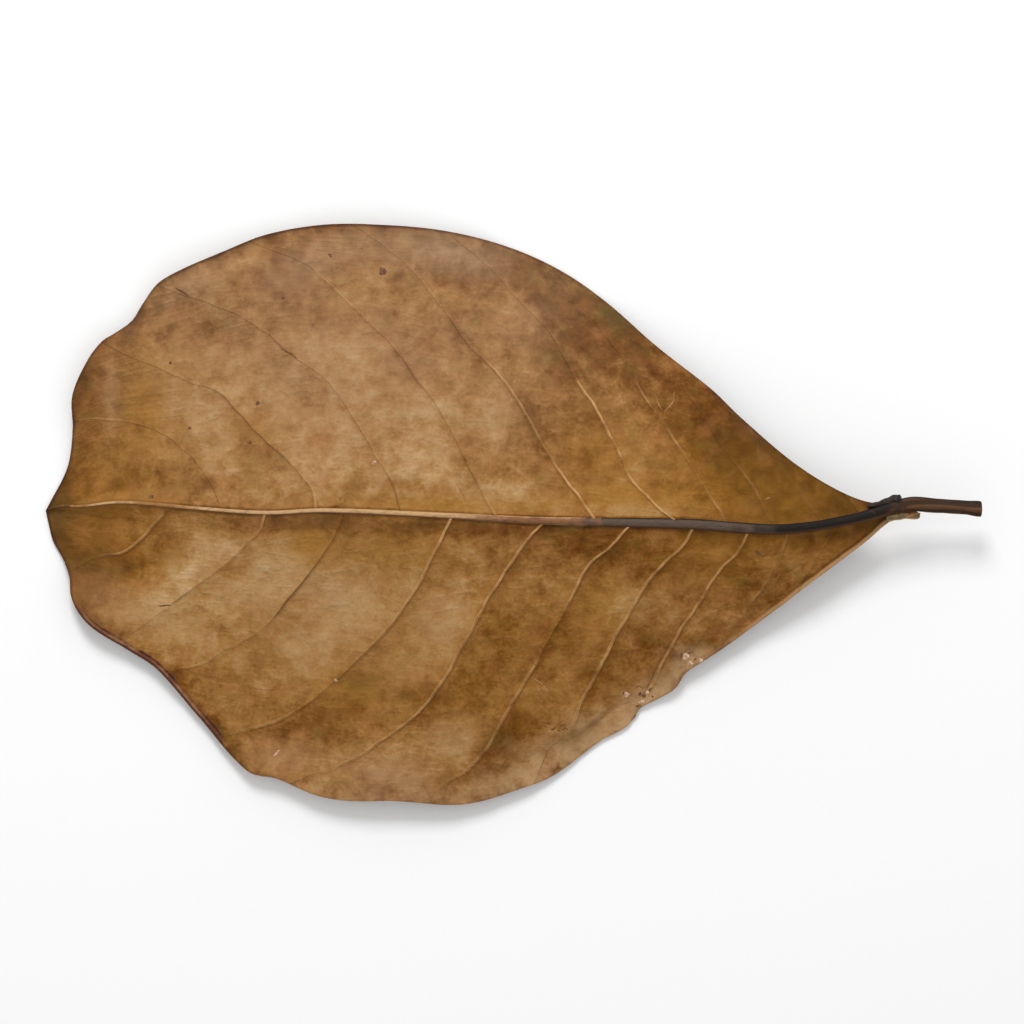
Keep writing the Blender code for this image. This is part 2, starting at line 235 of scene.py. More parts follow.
@dataclass
class LeafForm:
    """The shape of the leaf: outline, veins and heights."""

    stalk_end: float = 201.5
    thickness: float = 0.35
    seam_half_width: float = 0.2
    midrib_line: tuple = (
        (0.0, 0.3), (3.0, 1.2), (8.0, 1.2), (15.0, 2.0), (20.0, 1.9), (34.0, 0.7), (48.0, -0.2),
        (61.0, 0.3), (87.0, -0.8), (107.0, -1.9), (138.0, -2.6), (158.0, -3.7), (173.0, -1.7),
        (185.0, 1.5), (192.0, 1.3), (201.5, 0.6),
    )
    upper_margin: tuple = (
        (0.0, 0.3), (1.7, 3.5), (3.6, 7.0), (5.1, 10.8), (6.0, 18.0), (6.0, 25.0), (9.2, 32.3),
        (12.4, 36.6), (15.2, 38.5), (18.8, 41.2), (21.1, 44.8), (24.3, 49.0), (29.0, 51.8),
        (38.5, 56.0), (48.0, 59.8), (60.0, 61.8), (72.0, 61.8), (86.0, 60.6), (100.0, 57.2),
        (111.5, 52.0), (121.0, 45.4), (131.7, 35.8), (144.0, 26.0), (149.6, 20.6),
        (161.3, 10.5), (171.0, 4.4), (178.5, 1.9), (184.0, 3.4),
    )
    lower_margin: tuple = (
        (0.0, 0.3), (0.7, -3.0), (1.6, -6.4), (3.9, -10.4), (5.3, -14.3), (5.6, -18.0),
        (7.4, -21.8), (10.6, -25.2), (18.0, -29.8), (24.3, -34.0), (32.6, -43.6),
        (43.6, -55.8), (50.0, -57.4), (58.5, -61.0), (66.0, -62.2), (75.0, -62.2),
        (90.6, -63.0), (104.0, -59.3), (110.0, -56.8), (120.0, -49.4), (123.6, -47.6),
        (126.2, -45.8), (128.0, -42.6), (131.0, -40.9), (135.6, -38.2), (137.6, -35.0),
        (141.6, -32.4), (146.8, -28.9), (165.2, -14.8), (176.0, -6.6), (181.7, -1.8),
        (185.3, -1.3), (188.2, -0.4),
    )
    upper_veins: tuple = (
        SideVein(1.0, 0.0),
        SideVein(
            38.6, 0.085, 0.1,
            ((36.8, 4.8), (33.0, 10.5), (26.5, 16.0), (17.0, 19.4), (11.5, 20.2)),
            ((0.0, 0.0), (0.12, -0.2), (0.25, 0.0), (0.6, 0.0), (0.66, -0.5), (0.75, 0.7), (0.9, 0.6),
             (1.0, 0.0)),
        ),
        SideVein(
            58.9, 0.165, 0.45,
            ((58.2, 4.8), (54.5, 9.2), (49.0, 14.2), (43.5, 19.8), (38.5, 25.0), (31.5, 28.0),
             (22.0, 32.0)),
            ((0.0, 0.6), (0.12, 0.5), (0.2, -0.35), (0.5, -0.5), (0.58, 0.0), (1.0, 0.0)),
        ),
        SideVein(
            77.1, 0.238, 0.15,
            ((75.0, 6.2), (71.3, 12.2), (66.6, 20.2), (60.5, 28.0), (53.5, 34.0), (44.0, 40.8),
             (36.0, 44.8), (29.8, 46.6)),
            ((0.0, -0.4), (0.1, -0.5), (0.17, 0.5), (0.22, -0.3), (0.32, -0.2), (0.37, 0.0),
             (0.52, 0.0), (0.56, -0.7), (0.62, -0.4), (0.67, 0.4), (0.74, 0.0), (0.88, -0.4),
             (1.0, 0.0)),
        ),
        SideVein(
            97.6, 0.330, 0.15,
            ((93.2, 5.8), (90.4, 12.0), (86.0, 20.0), (80.4, 28.4), (74.2, 36.4), (67.6, 42.6),
             (61.0, 49.4), (54.0, 54.4), (49.5, 56.2)),
            ((0.0, 0.7), (0.06, 0.3), (0.12, -0.5), (0.2, -0.3), (0.26, 0.0), (0.34, 0.0),
             (0.4, -0.5), (0.48, -0.5), (0.54, 0.0), (0.62, 0.2), (0.75, 0.5), (0.88, -0.3),
             (1.0, 0.0)),
        ),
        SideVein(
            118.6, 0.425, 0.3,
            ((113.0, 6.0), (109.6, 10.6), (105.2, 18.2), (99.8, 26.6), (95.6, 31.6), (89.6, 38.2),
             (84.5, 45.2), (80.6, 50.6), (74.4, 56.4)),
            ((0.0, 1.0), (0.13, 0.9), (0.2, 0.4), (0.26, 0.6), (0.4, 0.7), (0.54, 0.4), (0.6, -0.4),
             (0.66, 0.0), (0.76, 0.4), (0.9, 0.2), (1.0, 0.0)),
        ),
        SideVein(
            136.0, 0.512, 0.35,
            ((130.6, 2.2), (127.9, 4.8), (124.9, 8.8), (123.4, 12.4), (120.4, 19.2), (116.8, 24.8),
             (113.4, 30.2), (109.0, 38.0), (103.0, 44.5), (95.5, 52.5)),
            ((0.0, 0.9), (0.17, 1.0), (0.21, 0.1), (0.24, 0.8), (0.27, 0.2), (0.3, 1.0), (0.46, 1.0),
             (0.5, -0.3), (0.57, -0.2), (0.65, 0.1), (0.75, 0.0), (1.0, 0.0)),
        ),
        SideVein(
            146.7, 0.610, 0.12,
            ((142.8, 3.2), (139.6, 8.8), (133.6, 17.6), (128.6, 25.8), (121.0, 37.5), (114.5, 46.0)),
            ((0.0, 0.1), (0.05, 0.5), (0.15, 0.3), (0.25, 0.0), (0.31, 0.6), (0.37, 0.4), (0.41, 0.0),
             (0.45, 0.6), (0.52, 0.5), (0.56, 0.0), (1.0, 0.0)),
        ),
        SideVein(
            156.9, 0.705, 0.1, ((152.5, 5.0), (146.0, 13.6), (139.5, 24.0), (133.2, 32.5)),
            ((0.0, 0.0), (0.2, 0.4), (0.4, 0.0), (0.6, 0.2), (1.0, 0.0)),
        ),
        SideVein(167.0, 0.845, 0.05, (), ((0.0, 0.0), (0.3, 0.2), (1.0, 0.0))),
        SideVein(175.4, 0.945),
        SideVein(184.0, 1.0),
    )
    lower_veins: tuple = (
        SideVein(1.0, 0.0),
        SideVein(
            26.8, 0.060, 0.8,
            ((25.4, -0.8), (24.0, -2.2), (22.1, -4.5), (19.8, -6.7), (16.8, -8.6), (12.3, -9.6)),
            ((0.0, 0.2), (0.1, 0.6), (0.5, 0.9), (0.7, 0.4), (0.8, 0.0), (1.0, 0.0)),
        ),
        SideVein(
            48.0, 0.143, 0.3,
            ((46.2, -4.6), (41.0, -9.6), (33.0, -15.8), (27.0, -20.4), (22.0, -24.0)),
            ((0.0, 0.6), (0.14, 0.5), (0.2, -0.2), (0.45, -0.2), (0.6, -0.6), (0.65, -0.8),
             (0.69, 0.8), (0.73, 0.0), (1.0, 0.0)),
        ),
        SideVein(
            65.2, 0.188, 0.35,
            ((62.4, -6.0), (58.4, -11.8), (53.0, -18.6), (49.0, -23.4), (45.4, -26.4),
             (40.6, -28.8), (33.0, -33.0)),
            ((0.0, -0.3), (0.2, -0.6), (0.46, -0.8), (0.56, 0.3), (0.62, -0.3), (0.7, 0.6),
             (0.74, 0.0), (0.84, 0.8), (0.92, 0.7), (1.0, 0.0)),
        ),
        SideVein(
            87.9, 0.264, 0.75,
            ((85.9, -5.2), (81.9, -13.2), (76.9, -21.4), (71.9, -27.6), (66.4, -32.8),
             (62.4, -36.6), (57.5, -40.8), (50.0, -44.8), (43.8, -47.0)),
            ((0.0, 1.0), (0.32, 0.9), (0.45, 0.5), (0.55, 0.0), (0.62, 0.3), (0.7, 0.0),
             (0.8, 0.8), (0.93, 0.6), (1.0, 0.0)),
        ),
        SideVein(
            107.6, 0.348, 0.8,
            ((104.7, -5.1), (100.6, -10.4), (96.3, -17.3), (91.9, -25.8), (87.5, -33.3),
             (83.1, -40.1), (78.8, -44.5), (71.9, -49.8), (63.8, -54.4)),
            ((0.0, 1.0), (0.22, 1.0), (0.3, 0.8), (0.45, 0.8), (0.55, 1.0), (0.75, 1.0), (0.88, 0.6),
             (1.0, 0.0)),
        ),
        SideVein(
            126.1, 0.474, 0.9,
            ((121.9, -7.0), (116.6, -12.0), (113.1, -18.9), (108.8, -27.0), (104.7, -34.5),
             (101.3, -40.1), (96.9, -47.6), (94.4, -52.0), (90.6, -55.8), (85.9, -58.8)),
            ((0.0, 1.0), (0.22, 1.0), (0.3, 0.6), (0.34, 0.1), (0.44, 0.1), (0.5, 0.9), (0.7, 0.9),
             (0.88, 0.7), (1.0, 0.1)),
        ),
        SideVein(
            139.6, 0.572, 0.8,
            ((137.1, -7.1), (131.4, -12.5), (127.1, -19.3), (122.1, -28.2), (118.6, -35.2),
             (115.0, -42.4), (112.6, -47.2), (108.4, -52.0)),
            ((0.0, 1.0), (0.6, 1.0), (0.75, 0.8), (0.82, 0.2), (0.88, -0.4), (1.0, 0.0)),
        ),
        SideVein(
            151.3, 0.693, 0.5,
            ((148.6, -8.6), (145.7, -11.8), (142.9, -16.1), (140.7, -19.6), (137.0, -25.4),
             (133.4, -32.4)),
            ((0.0, 0.9), (0.4, 1.0), (0.7, 0.9), (0.92, 0.8), (1.0, 0.0)),
        ),
        SideVein(
            159.5, 0.782, 0.3, ((157.9, -9.3), (155.7, -14.8), (151.4, -20.8)),
            ((0.0, 0.1), (0.12, 0.4), (0.3, 0.2), (0.5, 0.5), (0.7, 0.2), (1.0, 0.0)),
        ),
        SideVein(170.0, 0.870, 0.2, (), ((0.0, 0.0), (0.3, 0.3), (1.0, 0.0))),
        SideVein(184.5, 1.0),
    )
    spine_height: tuple = (
        (0.0, 0.1), (5.0, 1.6), (14.0, 4.4), (30.0, 8.0), (55.0, 11.6), (90.0, 14.4),
        (125.0, 14.8), (155.0, 13.2), (186.0, 10.0), (201.5, 8.6),
    )
    upper_edge_height: tuple = (
        (0.0, 0.0), (0.03, 0.0), (0.06, 1.2), (0.11, 2.8), (0.16, 4.0), (0.2, 1.8),
        (0.26, 4.6), (0.35, 2.8), (0.44, 4.2), (0.53, 2.0), (0.59, -0.8), (0.64, -0.8),
        (0.71, 2.6), (0.78, 5.4), (0.85, 5.0), (0.93, 8.4), (1.0, 10.0),
    )
    lower_edge_height: tuple = (
        (0.0, 0.0), (0.03, 0.0), (0.07, 1.6), (0.12, 3.4), (0.19, 2.4), (0.27, 1.8),
        (0.34, 3.2), (0.43, 4.4), (0.52, 3.0), (0.59, 1.0), (0.63, 0.0), (0.68, 0.0),
        (0.74, 2.4), (0.81, 3.8), (0.87, 6.2), (0.94, 8.4), (1.0, 10.0),
    )
    rib_radius: tuple = (
        (0.0, 0.24), (20.0, 0.4), (50.0, 0.54), (78.0, 0.66), (100.0, 0.78), (112.0, 0.94),
        (130.0, 1.12), (146.0, 1.24), (160.0, 1.16), (172.0, 1.16), (180.0, 1.34), (187.0, 1.5),
        (193.0, 1.36), (198.0, 1.4), (200.3, 1.62), (201.5, 1.55),
    )
    edge_dark: dict = field(default_factory=lambda: {
        Half.UPPER: (
            (0.0, 1.0), (0.05, 0.8), (0.12, 0.55), (0.2, 0.45), (0.28, 0.9), (0.45, 1.0),
            (0.55, 0.6), (0.7, 0.25), (1.0, 0.2),
        ),
        # On the lower half, values above 1 give the rolled edge with its painted highlight line, and
        # values below 0 give a pale rim of painted highlight.
        Half.LOWER: (
            (0.0, 1.0), (0.05, 0.8), (0.09, 0.8), (0.11, 2.0), (0.26, 2.0), (0.29, 0.5),
            (0.35, 0.1), (0.78, 0.1), (0.81, -0.2), (0.84, -0.7), (0.97, -1.0), (1.0, 0.0),
        ),
    })
    roll_rise: float = 0.1
    roll_place: float = 0.55
    roll_width: float = 0.4
    lip_width: tuple = (
        (0.0, 0.5), (0.3, 0.6), (0.36, 3.5), (0.5, 4.4), (0.56, 7.4), (0.62, 7.0), (0.66, 5.6),
        (0.69, 3.8), (0.72, 5.0), (0.765, 3.5), (0.79, 0.9), (1.0, 0.8),
    )
    lip_strength: tuple = (
        (0.0, 0.0), (0.32, 0.0), (0.4, 0.5), (0.52, 0.6), (0.56, 1.0), (0.75, 1.0),
        (0.785, 0.5), (1.0, 0.4),
    )
    lip_rise: float = 0.32
    lip_waves: tuple = ((6.0, 0.45, 2.2), (2.4, 0.4, 6.6))
    margin_blend: float = 0.5
    margin_samples: int = 801
    vein_wander: tuple = ((7.0, 0.5), (2.6, 0.22))
    wander_start: float = 0.06
    vein_seed: float = 9.0
    half_seed: float = 3.3
    upper_fall: float = 1.45
    lower_fall: float = 1.5
    panel_sag: float = 0.062
    panel_skew: float = 0.55
    even_sag: float = 0.35
    trough_depth: float = 0.5
    trough_reach: float = 0.87
    trough_half_width: float = 0.11
    sag_place: float = 0.8
    crown_shares: tuple = (0.2, 0.8)
    crown_samples: int = 601
    margins: dict = field(init=False)

    def __post_init__(self) -> None:
        """Measure the two outlines."""
        self.margins = {
            Half.UPPER: by_share(self.upper_margin),
            Half.LOWER: by_share(self.lower_margin),
        }

    def veins(self, half: Half) -> tuple:
        """Side veins of one half, from the tip to the stalk."""
        return self.upper_veins if half is Half.UPPER else self.lower_veins

    def bend(self, half: Half, number: int, reach: np.ndarray) -> np.ndarray:
        """How far a side vein is from the straight line between its ends.

        Args:
            half: Which half of the blade.
            number: Which side vein, from the tip.
            reach: How far from the midrib to the margin.

        Returns:
            Rows of (x, y).
        """
        vein = self.veins(half)[number]
        if not vein.via:
            return np.zeros((len(reach), 2))
        root = (vein.root_x, float(eased(self.midrib_line, vein.root_x)))
        end = tuple(eased(self.margins[half], vein.share))
        route = by_share((root, *vein.via, end))
        along = np.array(end) - np.array(root)
        square = np.array((-along[1], along[0])) / np.linalg.norm(along)
        steps = reach * np.linalg.norm(along)
        row = np.full_like(reach, number * self.vein_seed)
        wander = sum(
            depth * ripple(steps, row, size, half.value * self.half_seed)
            for size, depth in self.vein_wander
        )
        start = self.wander_start
        wander = wander * fade(reach, 0.0, start) * fade(reach, 1.0, 1.0 - start)
        straight = np.array(root) + along * reach[:, None]
        return eased(route, reach) - straight + square * wander[:, None]

    def place(self, half: Half, panel: int, fraction: np.ndarray, reach: np.ndarray) -> tuple:
        """Points on the blade.

        Args:
            half: Which half of the blade.
            panel: Number of the panel between two side veins, from the tip.
            fraction: How far from the panel's first vein to its second.
            reach: How far from the midrib to the margin.

        Returns:
            Arrays of x, y and the share of the margin that each line meets.
        """
        near, far = self.veins(half)[panel], self.veins(half)[panel + 1]
        root_x = near.root_x + (far.root_x - near.root_x) * fraction
        share = near.share + (far.share - near.share) * fraction
        root_y = eased(self.midrib_line, root_x) + half.value * self.seam_half_width
        end = eased(self.margins[half], share)
        bend = (
            self.bend(half, panel, reach) * (1.0 - fraction)[:, None]
            + self.bend(half, panel + 1, reach) * fraction[:, None]
        )
        x = root_x + (end[:, 0] - root_x) * reach + bend[:, 0]
        y = root_y + (end[:, 1] - root_y) * reach + bend[:, 1]
        return x, y, share

    def panel_width(self, half: Half, panel: int, reach: np.ndarray) -> np.ndarray:
        """Distance square to the side veins from one to the next.

        Args:
            half: Which half of the blade.
            panel: Number of the panel between two side veins, from the tip.
            reach: How far from the midrib to the margin.

        Returns:
            One distance for each reach.
        """
        near = self.place(half, panel, np.zeros_like(reach), reach)
        far = self.place(half, panel, np.ones_like(reach), reach)
        across_x, across_y = far[0] - near[0], far[1] - near[1]
        along_x, along_y = np.gradient(near[0] + far[0]), np.gradient(near[1] + far[1])
        return np.abs(across_x * along_y - across_y * along_x) / np.hypot(along_x, along_y)

    def from_margin(self, half: Half, x: np.ndarray, y: np.ndarray) -> tuple:
        """How far places are from the margin.

        Args:
            half: Which half of the blade.
            x: Distances from the tip.
            y: Distances across the leaf.

        Returns:
            The distances, and the mean shares of the nearest places there.
        """
        shares = np.linspace(0.0, 1.0, self.margin_samples)
        edge = eased(self.margins[half], shares)
        away = np.hypot(x[:, None] - edge[:, 0], y[:, None] - edge[:, 1])
        nearest = away.min(axis=1)
        weight = np.exp((nearest[:, None] - away) / self.margin_blend)
        return nearest, (weight @ shares) / weight.sum(axis=1)

    def height(
        self, half: Half, x: np.ndarray, share: np.ndarray, reach: np.ndarray, sag: np.ndarray
    ) -> np.ndarray:
        """Height of the blade's lower face above the surface.

        Args:
            half: Which half of the blade.
            x: Distances from the tip.
            share: Shares of the margin.
            reach: How far from the midrib to the margin.
            sag: How deep the blade hangs between two side veins.

        Returns:
            One height for each place.
        """
        crest = eased(self.spine_height, x)
        upper = half is Half.UPPER
        edge = eased(self.upper_edge_height if upper else self.lower_edge_height, share)
        if upper:
            drop = reach ** self.upper_fall
            trough = 0.0
        else:
            drop = 1.0 - (1.0 - reach) ** self.lower_fall
            away = (reach - self.trough_reach) / self.trough_half_width
            trough = self.trough_depth * np.exp(-away * away)
            trough = trough * np.minimum(1.0, crest / np.maximum(edge, 1.0) - 1.0)
        level = crest + (edge - crest) * drop - trough
        return np.maximum(level - sag * np.sin(np.pi * reach ** self.sag_place), 0.0)


def row_shift(form: LeafForm) -> np.ndarray:
    """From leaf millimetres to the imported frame, in millimetres.

    Args:
        form: The leaf's shape, whose stalk end and upper margin are matched
            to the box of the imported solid.

    Returns:
        The shift in x, y and z.
    """
    _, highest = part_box(LEAF_NODE)
    shares = np.linspace(*form.crown_shares, form.crown_samples)
    top = eased(form.margins[Half.UPPER], shares)[:, 1].max()
    return np.array((highest[0] / MM - form.stalk_end, highest[1] / MM - top, 0.0))


def flat_grid(name: str, rows: int, columns: int) -> tuple:
    """Add a flat grid that is then shaped.

    Args:
        name: The name of the piece.
        rows: How many faces it has along x.
        columns: How many faces it has along y.

    Returns:
        The object, and for each vertex its row and its column.
    """
    bpy.ops.object.select_all(action="DESELECT")
    bpy.ops.mesh.primitive_grid_add(x_subdivisions=rows, y_subdivisions=columns, size=1.0)
    grid = bpy.context.object
    grid.name = name
    flat = np.empty(len(grid.data.vertices) * 3)
    grid.data.vertices.foreach_get("co", flat)
    flat = flat.reshape(-1, 3)
    row = np.rint((flat[:, 0] + 0.5) * rows).astype(int)
    column = np.rint((flat[:, 1] + 0.5) * columns).astype(int)
    return grid, row, column


def shape(grid: bpy.types.Object, form: LeafForm, place: np.ndarray, kept: dict) -> None:
    """Move the vertices of a grid, and keep numbers with them.

    Args:
        grid: The grid's object.
        form: The leaf's shape.
        place: Rows of (x, y, z) in leaf millimetres.
        kept: Named arrays for the finish, with one value for each vertex.
    """
    mesh = grid.data
    mesh.vertices.foreach_set("co", ((place + row_shift(form)) * MM).ravel())
    for key, values in kept.items():
        layer = mesh.attributes.new(key, "FLOAT", "POINT")
        layer.data.foreach_set("value", np.asarray(values, np.float32))
    mesh.update()


def merge_close(thing: bpy.types.Object, distance: float, outward: bool) -> None:
    """Merge the vertices that lie close together.

    Args:
        thing: The piece.
        distance: Merge within this many millimetres.
        outward: Whether its faces are then turned outwards.
    """
    bpy.ops.object.select_all(action="DESELECT")
    thing.select_set(True)
    bpy.context.view_layer.objects.active = thing
    bpy.ops.object.mode_set(mode="EDIT")
    bpy.ops.mesh.select_all(action="SELECT")
    bpy.ops.mesh.remove_doubles(threshold=distance * MM)
    if outward:
        bpy.ops.mesh.normals_make_consistent(inside=False)
    bpy.ops.object.mode_set(mode="OBJECT")


def give_wall(thing: bpy.types.Object, thickness: float, sharp: float = 50.0) -> None:
    """Give an open sheet its thickness, downwards, and smooth its faces.

    Args:
        thing: The sheet.
        thickness: How thick it becomes, in millimetres.
        sharp: Edges of more degrees than this stay sharp.
    """
    wall = thing.modifiers.new("thickness", "SOLIDIFY")
    wall.thickness = thickness * MM
    wall.offset = -1.0
    bpy.ops.object.modifier_apply(modifier=wall.name)
    bpy.ops.object.shade_smooth_by_angle(angle=math.radians(sharp))


@dataclass
class Blade:
    """The blade of the leaf with its raised side veins."""

    form: LeafForm
    stains_and_shade: dict
    name: str = "leaf_blade"
    columns: int = 80
    crowding: float = 0.55
    vein_steps: tuple = (0.0, 0.14, 0.3, 0.55, 0.95, 1.5)
    vein_rows_share: float = 0.3
    least_width: float = 0.02
    open_rows: int = 10
    vein_rise: float = 0.3
    vein_half_width: float = 0.26
    vein_root: float = 1.3
    vein_taper: float = 0.7
    faintest_vein: float = 0.03
    lee_shade_width: float = 2.6
    rib_fillet_rise: float = 0.28
    rib_fillet_width: float = 1.1
    lumps: tuple = ((13.0, 0.6, 3.1), (6.0, 0.34, 7.7), (2.6, 0.12, 1.3))
    panel_step: float = 7.3
    weld: float = 0.05

    def reaches(self) -> np.ndarray:
        """Columns from the midrib to the margin, closer together at both."""
        even = np.linspace(0.0, 1.0, self.columns + 1)
        return even - self.crowding * np.sin(2.0 * np.pi * even) / (2.0 * np.pi)

    def row_fractions(self, width: np.ndarray) -> list:
        """Rows of one panel, closer together beside its two veins.

        Args:
            width: Distance between the two veins, for each reach.

        Returns:
            Fractions of the way from vein to vein.
        """
        largest = self.vein_steps[-1]
        beside = [
            np.minimum(step / width, self.vein_rows_share * step / largest)
            for step in self.vein_steps
        ]
        rows = list(beside)
        for step in range(1, self.open_rows + 1):
            even = step / (self.open_rows + 1)
            rows.append(beside[-1] + (1.0 - 2.0 * beside[-1]) * even)
        rows += [1.0 - fraction for fraction in beside[:0:-1]]
        return rows

    def half_rows(self, half: Half) -> list:
        """Every row of one half.

        Args:
            half: Which half of the blade.

        Returns:
            For each row a dict of arrays over the reaches.
        """
        reach = self.reaches()
        panels = len(self.form.veins(half)) - 1
        rows = []
        for panel in range(panels):
            width = np.maximum(self.form.panel_width(half, panel, reach), self.least_width)
            fractions = self.row_fractions(width)
            if panel == panels - 1:
                fractions.append(np.ones_like(reach))
            for fraction in fractions:
                rows.append(self.row(half, panel, fraction, reach, width))
        return rows

    def row(
        self, half: Half, panel: int, fraction: np.ndarray, reach: np.ndarray, width: np.ndarray
    ) -> dict:
        """One row of the blade: its place, and what the finish needs.

        Args:
            half: Which half of the blade.
            panel: Number of the panel between two side veins, from the tip.
            fraction: How far from the panel's first vein to its second.
            reach: How far from the midrib to the margin.
            width: Distance between the two veins.

        Returns:
            Named arrays with one value for each place of the row.
        """
        form = self.form
        x, y, share = form.place(half, panel, fraction, reach)
        veins = form.veins(half)
        near, far = veins[panel], veins[panel + 1]
        is_near = fraction <= 0.5
        from_vein = np.where(is_near, fraction, fraction - 1.0) * width
        number = np.where(is_near, panel, panel + 1)
        is_vein = (number > 0) & (number < len(veins) - 1)
        glow = np.where(is_near, eased(near.glow, reach), eased(far.glow, reach))
        clear = np.minimum(1.0, 1.2 * np.abs(glow))
        shown = self.faintest_vein + (1.0 - self.faintest_vein) * clear
        thinner = 1.0 - self.vein_taper * fade(reach, 0.35, 1.0)
        strength = np.where(is_vein, shown * thinner, 0.0)
        shaded, past = (near, fraction) if half is Half.LOWER else (far, 1.0 - fraction)
        to_margin, edge_share = form.from_margin(half, x, y)
        from_rib = np.abs(y - eased(form.midrib_line, x))
        length = np.hypot(x[-1] - x[0], y[-1] - y[0])
        sag = self.panel_sag(shaded.fold, past, width)
        z = form.height(half, x, share, reach, sag) + form.thickness
        half_width = self.vein_half_width * (self.vein_root - self.vein_taper * reach)
        ridge = np.exp(-((from_vein / half_width) ** 2))
        z = z + self.vein_rise * strength * ridge * fade(reach, 0.0, 0.01)
        fillet = self.rib_fillet_rise * eased(form.rib_radius, x)
        z = z + fillet * np.exp(-((from_rib / self.rib_fillet_width) ** 2))
        lip = np.zeros_like(reach)
        if half is Half.LOWER:
            lip, slope, bead = self.lower_rim(x, y, to_margin, edge_share)
            z = z + slope
            z = z + bead
        calm = fade(reach, 0.0, 0.12) * fade(z, form.thickness, form.thickness + 1.0)
        for size, depth, seed in self.lumps:
            z = z + depth * calm * ripple(x, y, size, seed)
        return {
            "x": x,
            "y": y,
            "z": z,
            "vein_mm": np.abs(from_vein),
            "lee": np.where(past <= 0.5, fade(past * width, 0.0, 0.1), 0.0),
            "vein_glow": glow,
            "vein_strength": strength,
            "rib_mm": (from_rib - eased(form.rib_radius, x)) * half.value,
            "edge_mm": to_margin,
            "edge_dark": eased(form.edge_dark[half], edge_share),
            "lip": lip,
            # Painted shade in the lee of each vein's fold, darker where the fold is steeper, fading
            # away from the vein.
            "lean": shaded.fold * (1.0 - lip) * fade(reach, 0.0, 0.04)
            * np.exp(-past * width / self.lee_shade_width),
            "along_mm": reach * length,
            "across_mm": fraction * width,
            "panel": np.full_like(reach, panel * self.panel_step + half.value),
        }

    def panel_sag(self, fold: float, past: np.ndarray, width: np.ndarray) -> np.ndarray:
        """How deep one row hangs between two side veins.

        Args:
            fold: How steeply the blade falls beside the shaded vein.
            past: How far the row is past that vein, from 0 to 1.
            width: Distance between the two veins.

        Returns:
            One depth for each place of the row.
        """
        form = self.form
        steep = np.sin(np.pi * past ** form.panel_skew) * fold
        even = np.sin(np.pi * past) * (1.0 - fold)
        deeper = form.even_sag + (1.0 - form.even_sag) * fold
        return form.panel_sag * width * deeper * (steep + even)

    def lower_rim(
        self, x: np.ndarray, y: np.ndarray, to_margin: np.ndarray, share: np.ndarray
    ) -> tuple:
        """The pale lip and the rolled bead along the lower margin.

        Args:
            x: Distances from the tip.
            y: Distances across the leaf.
            to_margin: Distances from the margin.
            share: Shares of the margin.

        Returns:
            How much each place is lip, and how far the lip and the bead
            raise it.
        """
        form = self.form
        uneven = 1.0
        for size, depth, seed in form.lip_waves:
            uneven = uneven + depth * ripple(x, y, size, seed)
        lip_width = eased(form.lip_width, share) * uneven
        strength = eased(form.lip_strength, share)
        lip = strength * (1.0 - fade(to_margin / lip_width, 0.2, 1.6))
        slope = fade(to_margin / lip_width, 1.1, 0.0)
        rolled = np.clip(eased(form.edge_dark[Half.LOWER], share) - 1.0, 0.0, 1.0)
        bead = np.exp(-(((to_margin - form.roll_place) / form.roll_width) ** 2))
        return lip, form.lip_rise * strength * slope, form.roll_rise * rolled * bead

    def build(self) -> bpy.types.Object:
        """Model the blade from a flat grid and give it its thickness.

        Returns:
            The blade's object.
        """
        halves = {half: self.half_rows(half) for half in Half}
        rows, across = len(halves[Half.UPPER]) - 1, 2 * self.columns + 1
        blade, row_at, column_at = flat_grid(self.name, rows, across)
        table = {
            key: np.array([
                np.concatenate((lower[key][::-1], upper[key]))
                for lower, upper in zip(halves[Half.LOWER], halves[Half.UPPER])
            ])
            for key in halves[Half.UPPER][0]
        }
        kept = {key: grid[row_at, column_at] for key, grid in table.items()}
        x, y, z = (kept.pop(key) for key in ("x", "y", "z"))
        for tint, stains_and_shade in self.stains_and_shade.items():
            kept[tint.value] = sum(stain.at(x, y) for stain in stains_and_shade)
        shape(blade, self.form, np.stack((x, y, z), axis=1), kept)
        merge_close(blade, self.weld, outward=False)
        give_wall(blade, self.form.thickness)
        return blade


